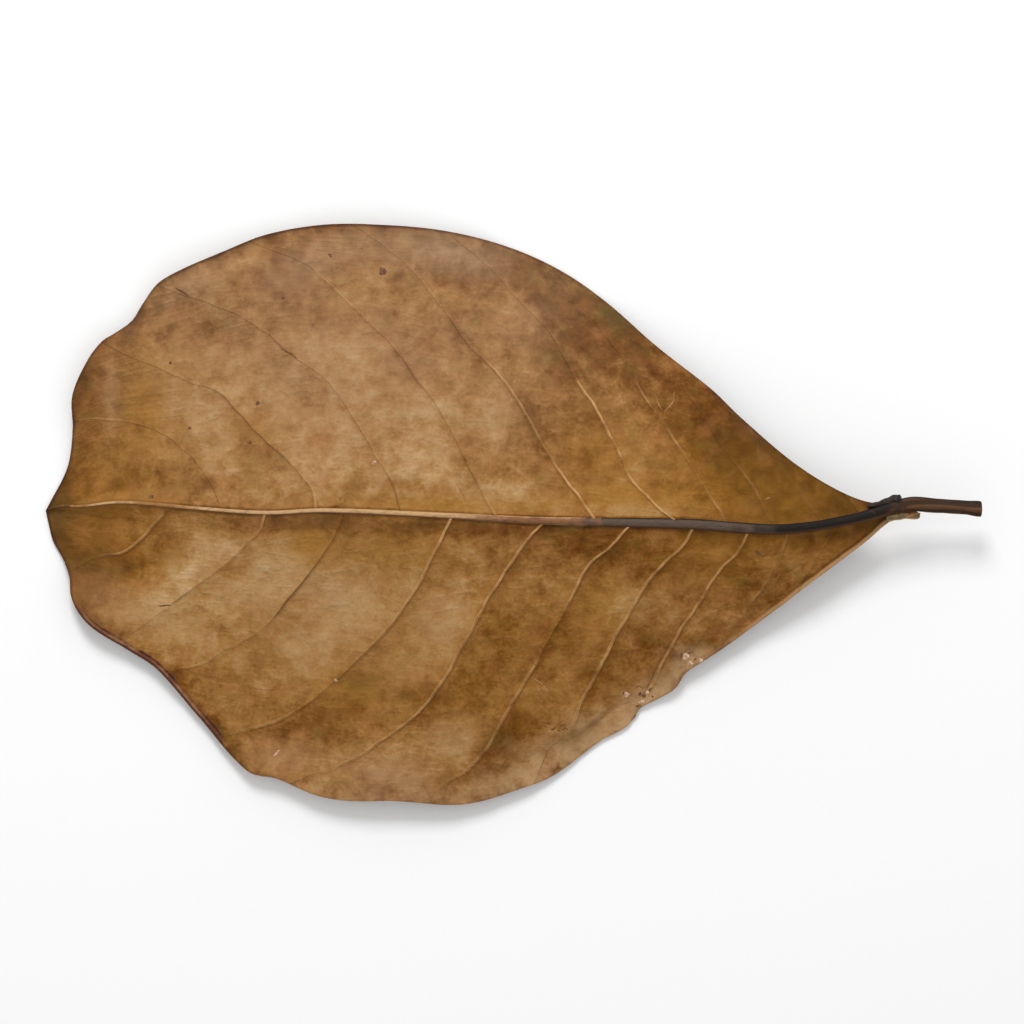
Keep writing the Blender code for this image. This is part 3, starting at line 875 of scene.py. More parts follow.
@dataclass
class Midrib:
    """The midrib and the stalk, one tapering cord along the leaf."""

    form: LeafForm
    name: str = "midrib_and_stalk"
    stations: int = 300
    around: int = 32
    cap_stations: int = 4
    cap_depth: float = 0.45
    sink: float = 0.3
    wrinkles: int = 6
    noise_round: float = 2.0
    noise_along: float = 0.16
    wrinkle_twist: float = 0.05
    wrinkle_noise: tuple = (1.6, 5.5)
    lump_noise: tuple = (0.9, 8.8)
    wrinkle_depth: float = 0.05
    stalk_depth: float = 0.11
    stalk_blend: tuple = (176.0, 187.0)

    def build(self) -> bpy.types.Object:
        """Roll a flat grid into the cord, and close both its ends.

        Returns:
            The cord's object.
        """
        form = self.form
        cord, step, column = flat_grid(self.name, self.stations, self.around)
        turn = -2.0 * np.pi * column / self.around
        ends = np.minimum(step, self.stations - step)
        last = self.stations - self.cap_stations
        x = np.interp(
            step, (0, last, self.stations), (0.0, form.stalk_end - self.cap_depth, form.stalk_end)
        )
        radius = eased(form.rib_radius, x)
        short = 1.0 - np.clip(ends / self.cap_stations, 0.0, 1.0)
        radius = radius * np.sqrt(1.0 - short * short)
        on_stalk = fade(x, *self.stalk_blend)
        size = self.noise_round
        around = (np.cos(turn) * size, np.sin(turn) * size + x * self.noise_along)
        wave = self.wrinkle_twist * x + 3.0 * ripple(*around, *self.wrinkle_noise)
        groove = np.sin(turn * self.wrinkles + wave)
        lumpy = ripple(*around, *self.lump_noise)
        depth = self.wrinkle_depth + (self.stalk_depth - self.wrinkle_depth) * on_stalk
        radius = radius * (1.0 + depth * (0.35 + 0.65 * on_stalk) * (groove + 0.9 * lumpy))
        centre_z = eased(form.spine_height, x) + form.thickness
        centre_z = centre_z - self.sink * eased(form.rib_radius, x)
        place = np.stack((
            x,
            eased(form.midrib_line, x) + radius * np.cos(turn),
            centre_z + radius * np.sin(turn),
        ), axis=1)
        kept = {
            "along_mm": x,
            "height_on_rib": np.sin(turn),
            "side_on_rib": np.cos(turn),
            "groove": groove,
        }
        shape(cord, form, place, kept)
        merge_close(cord, SEAM_MM, outward=True)
        bpy.ops.object.shade_smooth()
        return cord


@dataclass
class Details:
    """Small raised things on the blade: veinlets, loose fibres and specks."""

    form: LeafForm
    surface: BVHTree
    cord_radius: float = 0.15
    cord_step: float = 0.4
    cord_around: int = 6
    cord_rise: float = -0.5
    cord_taper: float = 0.4
    cord_wander: float = 0.12
    cord_noise: tuple = ((1.1, 4.4), (1.1, 9.9))
    speck_thickness: float = 0.07
    speck_segments: int = 14
    speck_rings: int = 8
    speck_uneven: float = 0.8
    speck_noise: tuple = (0.8, 5.1)
    drop_from: float = 0.1

    def top(self, x: np.ndarray, y: np.ndarray) -> np.ndarray:
        """Height of the blade's upper face.

        Args:
            x: Distances from the tip.
            y: Distances across the leaf.

        Returns:
            One height for each place.
        """
        shift = row_shift(self.form)
        heights = []
        for place in zip((x + shift[0]) * MM, (y + shift[1]) * MM):
            start = Vector((*place, self.drop_from))
            hit, _, _, _ = self.surface.ray_cast(start, Vector((0.0, 0.0, -1.0)))
            if hit is None:
                hit, _, _, _ = self.surface.find_nearest(Vector((*place, 0.0)))
            heights.append(hit.z / MM)
        return np.array(heights)

    def cord(self, name: str, route: tuple) -> bpy.types.Object:
        """One veinlet, rolled from a flat grid and laid on the blade.

        Args:
            name: Its name.
            route: Points (x, y) that it passes, from end to end.

        Returns:
            The veinlet's object.
        """
        knots = by_share(route)
        length = np.linalg.norm(np.diff(np.array(route), axis=0), axis=1).sum()
        stations = max(4, round(length / self.cord_step))
        cord, step, column = flat_grid(name, stations, self.cord_around)
        even = np.linspace(0.0, 1.0, stations + 1)
        line = eased(knots, even)
        wander = [ripple(*line.T, *kind) for kind in self.cord_noise]
        line = line + self.cord_wander * np.stack(wander, axis=1)
        ahead = np.gradient(line, axis=0)
        square = np.stack((-ahead[:, 1], ahead[:, 0]), axis=1)
        square = square / np.linalg.norm(square, axis=1)[:, None]
        turn = -2.0 * np.pi * column / self.cord_around
        swell = np.sin(np.pi * np.clip(even, 0.001, 0.999)) ** self.cord_taper
        radius = self.cord_radius * swell
        radius = np.where((even <= 0.0) | (even >= 1.0), 0.0, radius)[step]
        place = np.stack((
            line[step, 0] + square[step, 0] * radius * np.cos(turn),
            line[step, 1] + square[step, 1] * radius * np.cos(turn),
            self.top(line[:, 0], line[:, 1])[step] + radius * (np.sin(turn) + self.cord_rise),
        ), axis=1)
        shape(cord, self.form, place, {})
        merge_close(cord, SEAM_MM, outward=True)
        return cord

    def speck(self, name: str, mark: Speck) -> bpy.types.Object:
        """One speck: a flattened ball with an uneven rim, draped on the blade.

        Args:
            name: Its name.
            mark: Its place and size.

        Returns:
            The speck's object.
        """
        bpy.ops.object.select_all(action="DESELECT")
        bpy.ops.mesh.primitive_uv_sphere_add(
            segments=self.speck_segments, ring_count=self.speck_rings, radius=1.0
        )
        ball = bpy.context.object
        ball.name = name
        round_ball = np.empty(len(ball.data.vertices) * 3)
        ball.data.vertices.foreach_get("co", round_ball)
        along, across, up = round_ball.reshape(-1, 3).T
        lumps = ripple(along + mark.x, across + mark.y, *self.speck_noise)
        uneven = 1.0 + self.speck_uneven * lumps
        angle = math.radians(mark.turn)
        along, across = along * uneven * mark.length, across * uneven * mark.width
        x = mark.x + along * math.cos(angle) - across * math.sin(angle)
        y = mark.y + along * math.sin(angle) + across * math.cos(angle)
        place = np.stack((x, y, self.top(x, y) + up * self.speck_thickness), axis=1)
        shape(ball, self.form, place, {})
        return ball

    def joined(self, name: str, pieces: list) -> bpy.types.Object:
        """Join small pieces into one.

        Args:
            name: The name of the joined piece.
            pieces: The objects to join.

        Returns:
            The joined object.
        """
        bpy.ops.object.select_all(action="DESELECT")
        for piece in pieces:
            piece.select_set(True)
        bpy.context.view_layer.objects.active = pieces[0]
        bpy.ops.object.join()
        whole = bpy.context.object
        whole.name = name
        bpy.ops.object.shade_smooth()
        return whole

    def fibres(self, name: str, routes: tuple) -> bpy.types.Object:
        """Every veinlet and loose fibre as one piece."""
        return self.joined(name, [
            self.cord(f"{name}_{number}", route) for number, route in enumerate(routes)
        ])

    def specks(self, name: str, marks: tuple) -> bpy.types.Object:
        """A set of specks as one piece."""
        return self.joined(name, [
            self.speck(f"{name}_{number}", mark) for number, mark in enumerate(marks)
        ])


@dataclass
class Ears:
    """Where the blade ends beside the stalk: a dark knob and a dry flap."""

    form: LeafForm
    knob_line: tuple = ((176.5, 1.1), (179.5, 1.7), (182.0, 2.45), (184.0, 2.75))
    knob_radius: tuple = ((0.0, 0.35), (0.35, 0.7), (0.75, 1.0), (0.93, 1.1), (1.0, 0.9))
    knob_height: tuple = ((0.0, 10.9), (0.6, 10.6), (1.0, 10.5))
    knob_flat: float = 0.9
    knob_uneven: float = 0.22
    knob_noise: tuple = (1.1, 6.4)
    knob_sharp: float = 60.0
    knob_stations: int = 28
    knob_around: int = 20
    flap_line: tuple = ((180.8, -1.3), (183.2, -0.85), (185.6, -0.55), (187.9, -0.9))
    flap_width: tuple = ((0.0, 0.5), (0.3, 1.1), (0.7, 1.5), (0.9, 1.2), (1.0, 0.3))
    flap_height: tuple = ((0.0, 10.4), (0.5, 10.0), (1.0, 9.2))
    flap_rows: int = 26
    flap_columns: int = 10
    flap_curl: float = 0.55
    flap_length: float = 7.0
    rim_wave: tuple = (1.3, 0.25, 3.7)
    top_wave: tuple = (1.0, 0.15, 1.1)
    flap_thickness: float = 0.4

    def knob(self) -> bpy.types.Object:
        """A dark ridge that swells along the rib and ends square.

        Returns:
            The ridge's object.
        """
        knob, row, column = flat_grid("upper_ear", self.knob_stations, self.knob_around)
        along = row / self.knob_stations
        turn = -2.0 * np.pi * column / self.knob_around
        middle = eased(by_share(self.knob_line), along)
        radius = eased(self.knob_radius, along)
        ends = np.minimum(along * 12.0, (1.0 - along) * self.knob_stations)
        radius = radius * np.sqrt(np.clip(ends, 0.0, 1.0))
        lumps = ripple(along * 8.0 + np.cos(turn), np.sin(turn) * 1.4, *self.knob_noise)
        radius = radius * (1.0 + self.knob_uneven * lumps)
        place = np.stack((
            middle[:, 0],
            middle[:, 1] + radius * np.cos(turn),
            eased(self.knob_height, along) + radius * self.knob_flat * np.sin(turn),
        ), axis=1)
        shape(knob, self.form, place, {})
        merge_close(knob, SEAM_MM, outward=True)
        bpy.ops.object.shade_smooth_by_angle(angle=math.radians(self.knob_sharp))
        return knob

    def flap(self) -> bpy.types.Object:
        """A narrow dry flap, curled over along its length.

        Returns:
            The flap's object.
        """
        flap, row, column = flat_grid("lower_ear", self.flap_rows, self.flap_columns)
        along = row / self.flap_rows
        across = 1.0 - 2.0 * column / self.flap_columns
        middle = eased(by_share(self.flap_line), along)
        spot = (along * self.flap_length, across)
        size, depth, seed = self.rim_wave
        half_width = eased(self.flap_width, along) * 0.5
        half_width = half_width * (1.0 + depth * ripple(*spot, size, seed))
        size, depth, seed = self.top_wave
        drop = self.flap_curl * across * across + depth * ripple(*spot, size, seed)
        place = np.stack((
            middle[:, 0],
            middle[:, 1] + half_width * across,
            eased(self.flap_height, along) - drop,
        ), axis=1)
        shape(flap, self.form, place, {"rim": np.abs(across)})
        merge_close(flap, SEAM_MM, outward=False)
        give_wall(flap, self.flap_thickness)
        return flap


def linear(red: float, green: float, blue: float) -> tuple:
    """A screen colour from 0 to 255 as the linear colour of a shader."""
    parts = [value / 255.0 for value in (red, green, blue)]
    return (*[p / 12.92 if p <= 0.04045 else ((p + 0.055) / 1.055) ** 2.4 for p in parts], 1.0)


class Wire:
    """A socket of a node tree that can be used in sums like a number."""

    def __init__(self, tree: bpy.types.NodeTree, socket: bpy.types.NodeSocket) -> None:
        """Hold a socket of a tree."""
        self.tree = tree
        self.socket = socket

    def maths(self, operation: str, *others: float | Wire) -> Wire:
        """Add a Math node.

        Args:
            operation: The node's operation.
            *others: Its second and third values.

        Returns:
            The result's wire.
        """
        return node(self.tree, "ShaderNodeMath", {"operation": operation}, (self, *others))

    def __add__(self, other: float | Wire) -> Wire:
        """Sum."""
        return self.maths("ADD", other)

    def __sub__(self, other: float | Wire) -> Wire:
        """Difference."""
        return self.maths("SUBTRACT", other)

    def __mul__(self, other: float | Wire) -> Wire:
        """Product."""
        return self.maths("MULTIPLY", other)

    def __truediv__(self, other: float | Wire) -> Wire:
        """Quotient."""
        return self.maths("DIVIDE", other)

    def __neg__(self) -> Wire:
        """The value with its sign turned."""
        return self.maths("MULTIPLY", -1.0)

    def __radd__(self, other: float) -> Wire:
        """Sum with a number first."""
        return self + other

    def __rmul__(self, other: float) -> Wire:
        """Product with a number first."""
        return self * other

    def __rsub__(self, other: float) -> Wire:
        """A number less this value."""
        return node(self.tree, "ShaderNodeMath", {"operation": "SUBTRACT"}, (other, self))

    def size(self) -> Wire:
        """The value without its sign."""
        return self.maths("ABSOLUTE")

    def within(self, low: float, high: float) -> Wire:
        """Smooth step from 0 at low to 1 at high."""
        settings = {"interpolation_type": "SMOOTHSTEP"}
        return node(self.tree, "ShaderNodeMapRange", settings, (self, low, high))

    def above_zero(self) -> Wire:
        """The value, or 0 where it is less."""
        return self.maths("MAXIMUM", 0.0)

    def clamped(self) -> Wire:
        """The value, kept from 0 to 1."""
        return self.above_zero().maths("MINIMUM", 1.0)

    def less_than(self, near: float, far: float) -> Wire:
        """Smooth step from 1 at near to 0 at far."""
        return 1.0 - self.within(near, far)

    def line_at(self, place: float, core: float, edge: float) -> Wire:
        """Soft line: 1 within core of a place and 0 from edge on."""
        return (self - place).size().less_than(core, edge)


def node(
    tree: bpy.types.NodeTree, kind: str, settings: dict, values: tuple | dict, out: int | str = 0
) -> Wire:
    """Add any node.

    Args:
        tree: The node tree.
        kind: The node's type.
        settings: Properties, or the stops of a ramp under "stops".
        values: Its inputs in order, or by name or number.
        out: The output that is wanted.

    Returns:
        A wire from that output.
    """
    made = tree.nodes.new(kind)
    for key, setting in settings.items():
        if key == "stops":
            stops = made.color_ramp.elements
            while len(stops) < len(setting):
                stops.new(0.5)
            for stop, (position, colour) in zip(stops, setting):
                stop.position = position
                stop.color = colour
        else:
            setattr(made, key, setting)
    pairs = values.items() if isinstance(values, dict) else enumerate(values)
    for key, value in pairs:
        if isinstance(value, Wire):
            tree.links.new(value.socket, made.inputs[key])
        else:
            made.inputs[key].default_value = value
    return Wire(tree, made.outputs[out])


class Finish:
    """Shared tools of a finish that is painted with nodes."""

    def __init__(self, name: str, roughness: float, specular: float) -> None:
        """Make a material with one Principled shader.

        Args:
            name: The material's name.
            roughness: How dull it is.
            specular: How strongly it mirrors.
        """
        self.material = bpy.data.materials.new(name)
        self.material.use_nodes = True
        self.tree = self.material.node_tree
        self.shader = self.tree.nodes["Principled BSDF"]
        self.shader.inputs["Roughness"].default_value = roughness
        self.shader.inputs["Specular IOR Level"].default_value = specular

    def attribute(self, name: str) -> Wire:
        """Number kept with the mesh under a name."""
        return node(self.tree, "ShaderNodeAttribute", {"attribute_name": name}, (), "Fac")

    def coordinates(self) -> Wire:
        """Object coordinates in millimetres."""
        plain = node(self.tree, "ShaderNodeTexCoord", {}, (), "Object")
        return self.scaled(plain, (1.0 / MM,) * 3)

    def leaf_coordinates(self, form: LeafForm) -> Wire:
        """Object coordinates in the leaf's own millimetres."""
        return self.shifted(self.coordinates(), tuple(-row_shift(form)))

    def pushed(self, vector: Wire, size: float, by: float) -> Wire:
        """A vector moved about by noise, by up to about half a distance."""
        push = self.shifted(self.cloud_colour(vector, size), (-0.5,) * 3)
        return self.shifted(vector, self.scaled(push, (by,) * 3))

    def scaled(self, vector: Wire, by: tuple) -> Wire:
        """A vector with each of its parts multiplied."""
        return node(
            self.tree, "ShaderNodeVectorMath", {"operation": "MULTIPLY"}, (vector, by)
        )

    def shifted(self, vector: Wire, by: Wire | tuple) -> Wire:
        """Sum of two vectors."""
        return node(self.tree, "ShaderNodeVectorMath", {"operation": "ADD"}, (vector, by))

    def cloud(self, vector: Wire, size: float, detail: float = 3.0, rough: float = 0.55) -> Wire:
        """Noise from 0 to 1 with bumps of a size in millimetres."""
        values = {"Vector": vector, "Scale": 1.0 / size, "Detail": detail, "Roughness": rough}
        return node(self.tree, "ShaderNodeTexNoise", {}, values, "Fac")

    def cloud_colour(self, vector: Wire, size: float) -> Wire:
        """Noise of three parts, for pushing coordinates about."""
        values = {"Vector": vector, "Scale": 1.0 / size, "Detail": 2.0}
        return node(self.tree, "ShaderNodeTexNoise", {}, values, "Color")

    def cells(self, vector: Wire, size: float, feature: str = "DISTANCE_TO_EDGE") -> Wire:
        """Distances in a pattern of cells of a size in millimetres."""
        values = {"Vector": vector, "Scale": 1.0 / size}
        return node(self.tree, "ShaderNodeTexVoronoi", {"feature": feature}, values, "Distance")

    def mixed(self, factor: Wire | float, first: Wire | tuple, second: Wire | tuple) -> Wire:
        """Blend from the first colour to the second."""
        settings = {"data_type": "RGBA", "clamp_factor": True}
        return node(
            self.tree, "ShaderNodeMix", settings, {0: factor, 6: first, 7: second}, 2
        )

    def ramp(self, factor: Wire, stops: tuple) -> Wire:
        """Colour read from a ramp."""
        return node(self.tree, "ShaderNodeValToRGB", {"stops": stops}, (factor,), "Color")

    def plug(self, socket: str, wire: Wire) -> None:
        """Feed one socket of the Principled shader."""
        self.tree.links.new(wire.socket, self.shader.inputs[socket])

    def bump(self, height: Wire, distance: float, strength: float) -> None:
        """Raise the surface by a height from 0 to 1 times a distance."""
        wire = node(
            self.tree, "ShaderNodeBump", {},
            {"Strength": strength, "Distance": distance * MM, "Height": height}, "Normal",
        )
        self.plug("Normal", wire)


@dataclass(frozen=True)
class DryBlade:
    """Finish of the dried blade: brown tissue, pale veins, stain, painted shade and painted
    highlights.
    """

    darkest: tuple = linear(56, 27, 4)
    dark: tuple = linear(102, 60, 18)
    middle: tuple = linear(148, 104, 55)
    light: tuple = linear(176, 141, 97)
    lightest: tuple = linear(197, 169, 131)
    pink: tuple = linear(163, 129, 97)
    reddish: tuple = linear(150, 95, 56)
    greenish: tuple = linear(118, 96, 46)
    ochre: tuple = linear(150, 104, 38)
    olive: tuple = linear(84, 72, 40)
    pale_vein: tuple = linear(200, 154, 100)
    # Colour of veins shown dark, and of the painted shadow line beside the veins.
    dark_vein_and_shadow: tuple = linear(76, 42, 16)
    freckle: tuple = linear(108, 70, 44)
    edge: tuple = linear(64, 36, 26)
    roll: tuple = linear(112, 72, 54)
    # Colour of the painted highlight line along the rolled lower margin.
    roll_highlight_colour: tuple = linear(172, 128, 98)
    lip: tuple = linear(172, 140, 104)
    # Colour of the pale rim near the base of the lower margin, a painted highlight.
    rim: tuple = linear(176, 138, 96)
    broad_size: float = 11.0
    medium_size: float = 3.4
    small_size: float = 1.5
    fine_size: float = 0.8
    red_size: float = 5.6
    green_size: float = 4.3
    freckle_size: float = 1.7
    net_size: float = 1.1
    push_size: float = 5.0
    push_by: float = 2.4
    ladder_cell: tuple = (2.9, 8.0)
    ladder_push_size: float = 6.0
    ladder_push_by: float = 4.0
    shadow_line_place: float = 0.42
    roll_highlight_place: float = 0.8
    inner_place: float = 1.1
    rim_place: float = 0.95

    def build(self, form: LeafForm) -> bpy.types.Material:
        """Paint the blade of a leaf.

        Args:
            form: The leaf's shape, whose frame the noise follows.

        Returns:
            The material.
        """
        f = Finish("dry_blade", 0.6, 0.03)
        place = f.leaf_coordinates(form)
        bent = f.pushed(place, self.push_size, self.push_by)
        broad = f.cloud(bent, self.broad_size, 3.0)
        medium = f.cloud(bent, self.medium_size, 2.0, 0.5)
        small = f.cloud(bent, self.small_size, 2.0, 0.5)
        fine = f.cloud(place, self.fine_size, 3.0, 0.65)
        ladder = self.ladder(f)
        colour = self.tissue(f, broad, medium, small * 0.3 + fine * 0.7, ladder)
        red_patch = f.cloud(bent, self.red_size, 3.0).within(0.44, 0.76)
        green_patch = f.cloud(bent, self.green_size, 3.0).within(0.46, 0.78)
        colour = f.mixed(red_patch * 0.4, colour, self.reddish)
        colour = f.mixed(green_patch * 0.36, colour, self.greenish)
        lip = f.attribute("lip") * (medium * 1.5 + fine * 0.5 - 0.38)
        colour = f.mixed(lip, colour, self.lip)
        for tint, stain in (
            (Tint.PINK, self.pink), (Tint.OCHRE, self.ochre), (Tint.OLIVE, self.olive),
        ):
            amount = f.attribute(tint.value) * (0.3 + medium * 1.4)
            colour = f.mixed(amount, colour, stain)
        colour = self.freckled(f, colour, bent)
        colour = self.edged(f, self.veined(f, colour, medium), medium)
        f.plug("Base Color", colour)
        f.plug("Roughness", 0.5 + medium * 0.25)
        net = self.net(f, bent)
        f.bump(ladder * 0.055 + net * 0.025 + medium * 0.5 + small * 0.16 + fine * 0.08, 1.0, 1.0)
        return f.material

    def tissue(self, f: Finish, broad: Wire, medium: Wire, fine: Wire, ladder: Wire) -> Wire:
        """Brown of the blade between its veins, with painted shade in the lee of each vein and
        painted shadow under the midrib.

        Args:
            f: The finish that is painted.
            broad: Noise of the largest patches.
            medium: Noise of the middle patches.
            fine: Noise of the grain.
            ladder: Fine veins that cross between the side veins.

        Returns:
            The colour.
        """
        below_rib = -f.attribute("rib_mm")
        # Painted shadow on the blade under the midrib: a soft band and a darker line along the rib's
        # edge.
        rib_shade = below_rib.within(-0.6, 0.1) * below_rib.less_than(0.6, 4.5)
        rib_shadow_line = below_rib.within(-0.5, 0.0) * below_rib.less_than(0.1, 0.7)
        near_edge = (f.attribute("edge_mm") + (medium - 0.5) * 1.4).less_than(0.3, 4.5)
        dark_edge = f.attribute("edge_dark").clamped()
        upper = f.attribute("rib_mm").within(-1.0, 1.0)
        calm = f.attribute(Tint.TONE.value).within(-0.45, 0.05) * 0.6 + 0.4
        tone = (
            f.attribute(Tint.TONE.value)
            + ((broad - 0.5) * 0.34 + (medium - 0.5) * 0.46) * calm * (upper * 0.15 + 1.0)
            + (fine - 0.5) * 0.54
            # Painted shade in the lee of each vein.
            - f.attribute("lean") * (0.03 + medium * 0.18)
            - rib_shade * 0.12
            - rib_shadow_line * 0.2
            - near_edge * (dark_edge * 0.2 + 0.02)
            + ladder * (medium * 0.2 - 0.07)
            + upper * 0.03
            + 0.405
        )
        return f.ramp(tone, (
            (0.0, self.darkest), (0.25, self.dark), (0.5, self.middle),
            (0.75, self.light), (1.0, self.lightest),
        ))

    def freckled(self, f: Finish, colour: Wire, place: Wire) -> Wire:
        """Small purple-brown freckles where the leaf has them."""
        dot = f.cells(place, self.freckle_size, "F1").less_than(0.1, 0.5)
        return f.mixed(dot * f.attribute(Tint.FRECKLES.value), colour, self.freckle)

    def veined(self, f: Finish, colour: Wire, medium: Wire) -> Wire:
        """Pale or dark side veins, with a thin painted shadow line on their lee side.

        Args:
            f: The finish that is painted.
            colour: The colour so far.
            medium: Noise of the middle patches.

        Returns:
            The colour with the veins.
        """
        distance = f.attribute("vein_mm")
        strength = f.attribute("vein_strength")
        broken = (medium * 2.6 - 0.8).clamped()
        glow = f.attribute("vein_glow") * (0.35 + broken * 0.8)
        pale = glow.above_zero()
        dark = (-glow).above_zero()
        core = distance.less_than(0.12, 0.36) * (0.25 + strength * 0.75)
        side = 0.3 + f.attribute("lee") * 0.7
        lean = f.attribute("lean")
        # Painted shadow line beside each vein on its lee side, darker where the fold is steeper, and
        # beside the pale veins.
        shade = distance.line_at(self.shadow_line_place, 0.08, 0.4) * strength * (0.06 + lean * 0.16)
        line = distance.line_at(self.shadow_line_place, 0.06, 0.26) * pale * 0.36
        beside = side * shade.maths("MAXIMUM", line) * (0.5 + broken * 0.5)
        colour = f.mixed(beside, colour, self.dark_vein_and_shadow)
        colour = f.mixed(core * dark * 0.6, colour, self.dark_vein_and_shadow)
        return f.mixed(core * pale * 0.95, colour, self.pale_vein)

    def edged(self, f: Finish, colour: Wire, medium: Wire) -> Wire:
        """The margin: a dark line, a roll between dark lines with a painted highlight line along it,
        or a pale rim of painted highlight.

        Args:
            f: The finish that is painted.
            colour: The colour so far.
            medium: Noise of the middle patches.

        Returns:
            The colour with the margin.
        """
        amount = f.attribute("edge_dark")
        pale = (-amount).above_zero()
        rolled = (amount - 1.0).above_zero()
        dark = amount.clamped()
        distance = f.attribute("edge_mm") + (medium - 0.5) * 0.6
        spots = (medium * 3.0 - 1.1).clamped()
        blush = rolled * distance.less_than(0.6, 2.0) * (0.85 - spots * 0.4)
        colour = f.mixed(blush, colour, self.roll)
        # Painted highlight: a pale line along the middle of the roll, broken into spots.
        roll_highlight = distance.line_at(self.roll_highlight_place, 0.1, 0.45) * rolled * spots
        colour = f.mixed(roll_highlight * 0.55, colour, self.roll_highlight_colour)
        inner_line = distance.line_at(self.inner_place, 0.1, 0.4) * rolled * (1.0 - spots)
        outer_line = distance.less_than(0.2, dark * 0.5 + 0.5) * (1.0 - pale) * (dark * 0.6 + 0.12)
        rim_line = distance.line_at(self.rim_place, 0.05, 0.35) * pale * 0.45
        line = inner_line.maths("MAXIMUM", outer_line).maths("MAXIMUM", rim_line)
        colour = f.mixed(line, colour, self.edge)
        # Painted highlight: a pale rim along the lower margin near the base.
        return f.mixed(distance.less_than(0.35, 0.65) * pale * 0.7, colour, self.rim)

    def ladder(self, f: Finish) -> Wire:
        """Fine veins that cross from one side vein to the next.

        Args:
            f: The finish that is painted.

        Returns:
            1 on the cross veins, 0 between them.
        """
        spot = node(
            f.tree, "ShaderNodeCombineXYZ", {},
            (f.attribute("along_mm"), f.attribute("across_mm"), f.attribute("panel")), "Vector",
        )
        push = f.shifted(f.cloud_colour(spot, self.ladder_push_size), (-0.5,) * 3)
        push = f.scaled(push, (self.ladder_push_by, self.ladder_push_by, 0.0))
        step, length = self.ladder_cell
        steps = f.scaled(f.shifted(spot, push), (1.0 / step, 1.0 / length, 1.0))
        return f.cells(steps, 1.0).less_than(0.0, 0.22)

    def net(self, f: Finish, place: Wire) -> Wire:
        """Finest raised net between the cross veins."""
        return f.cells(place, self.net_size).less_than(0.02, 0.2)


@dataclass(frozen=True)
class RibFinish:
    """Finish of the midrib and stalk: pale at the tip, black at the base."""

    mucro: tuple = linear(84, 60, 34)
    pale: tuple = linear(186, 148, 106)
    tan: tuple = linear(150, 106, 62)
    # Colour of the painted shade along the underside of the cord.
    under: tuple = linear(84, 52, 26)
    red: tuple = linear(128, 86, 58)
    purple: tuple = linear(86, 71, 61)
    black: tuple = linear(30, 25, 22)
    stalk: tuple = linear(92, 62, 40)
    stalk_groove: tuple = linear(44, 30, 20)
    length: float = 202.0
    groove_blend: tuple = (176.0, 186.0)

    def stops(self, *pairs: tuple) -> tuple:
        """Stops of a ramp along the leaf, from pairs of (x, colour)."""
        return tuple((x / self.length, colour) for x, colour in pairs)

    def build(self) -> bpy.types.Material:
        """Paint the cord along its length, with darker sides, a paler top that is partly its own
        colour and partly painted highlight, and painted shade along its underside.

        Returns:
            The material.
        """
        f = Finish("midrib", 0.5, 0.1)
        place = f.coordinates()
        grain = f.cloud(f.scaled(place, (0.25, 1.0, 1.0)), 0.5, 3.0)
        blotch = f.cloud(place, 2.2, 3.0)
        along = f.attribute("along_mm") / self.length + (blotch - 0.5) * 0.09
        top = f.ramp(along, self.stops(
            (0.0, self.mucro), (2.5, self.mucro), (6.5, self.tan), (11.0, self.pale),
            (17.0, self.pale), (22.0, self.tan), (28.0, self.tan), (36.0, self.pale),
            (88.0, self.pale), (99.0, self.red), (113.0, self.red), (121.0, self.purple),
            (148.0, self.purple), (160.0, self.black), (180.0, self.black), (185.0, self.stalk),
        ))
        side = f.ramp(along, self.stops(
            (0.0, self.mucro), (5.0, self.tan), (86.0, self.tan), (96.0, self.pale),
            (112.0, self.pale), (121.0, self.black), (181.0, self.black),
            (186.0, self.stalk_groove),
        ))
        # The top takes the paler ramp: partly the rib's own colour, partly painted highlight along
        # its top.
        height = f.attribute("height_on_rib") + (grain - 0.5) * 0.4
        colour = f.mixed(height.within(0.5, 0.85), side, top)
        # Painted shade along the underside of the cord.
        under = f.attribute("side_on_rib").less_than(-0.85, -0.35)
        colour = f.mixed(under * 0.75, colour, self.under)
        groove = f.attribute("groove").less_than(-0.7, 0.6)
        groove = groove * f.attribute("along_mm").within(*self.groove_blend)
        colour = f.mixed(groove * 0.8, colour, self.stalk_groove)
        colour = f.mixed(grain.within(0.45, 0.75) * 0.35, colour, self.black)
        f.plug("Base Color", colour)
        f.plug("Roughness", 0.4 + grain * 0.3)
        f.bump(grain, 0.25, 0.8)
        return f.material


@dataclass(frozen=True)
class PlainFinish:
    """Finish of a small dry part: one colour that fades in patches to another."""

    name: str
    colour: tuple
    patch: tuple
    size: float
    rim: tuple | None = None

    def build(self) -> bpy.types.Material:
        """Paint the part.

        Returns:
            The material.
        """
        f = Finish(self.name, 0.55, 0.2)
        place = f.coordinates()
        cloud = f.cloud(place, self.size, 4.0, 0.65)
        colour = f.mixed(cloud.within(0.4, 0.62), self.colour, self.patch)
        if self.rim:
            colour = f.mixed(f.attribute("rim").within(0.55, 0.95), colour, self.rim)
        f.plug("Base Color", colour)
        f.bump(cloud, 0.25, 0.8)
        return f.material


@dataclass(frozen=True)
class FloorFinish:
    """Plain pale floor."""

    colour: tuple = (0.86, 0.86, 0.86, 1.0)

    def build(self) -> bpy.types.Material:
        """Paint the floor.

        Returns:
            The material.
        """
        f = Finish("pale_floor", 0.9, 0.2)
        f.shader.inputs["Base Color"].default_value = self.colour
        return f.material


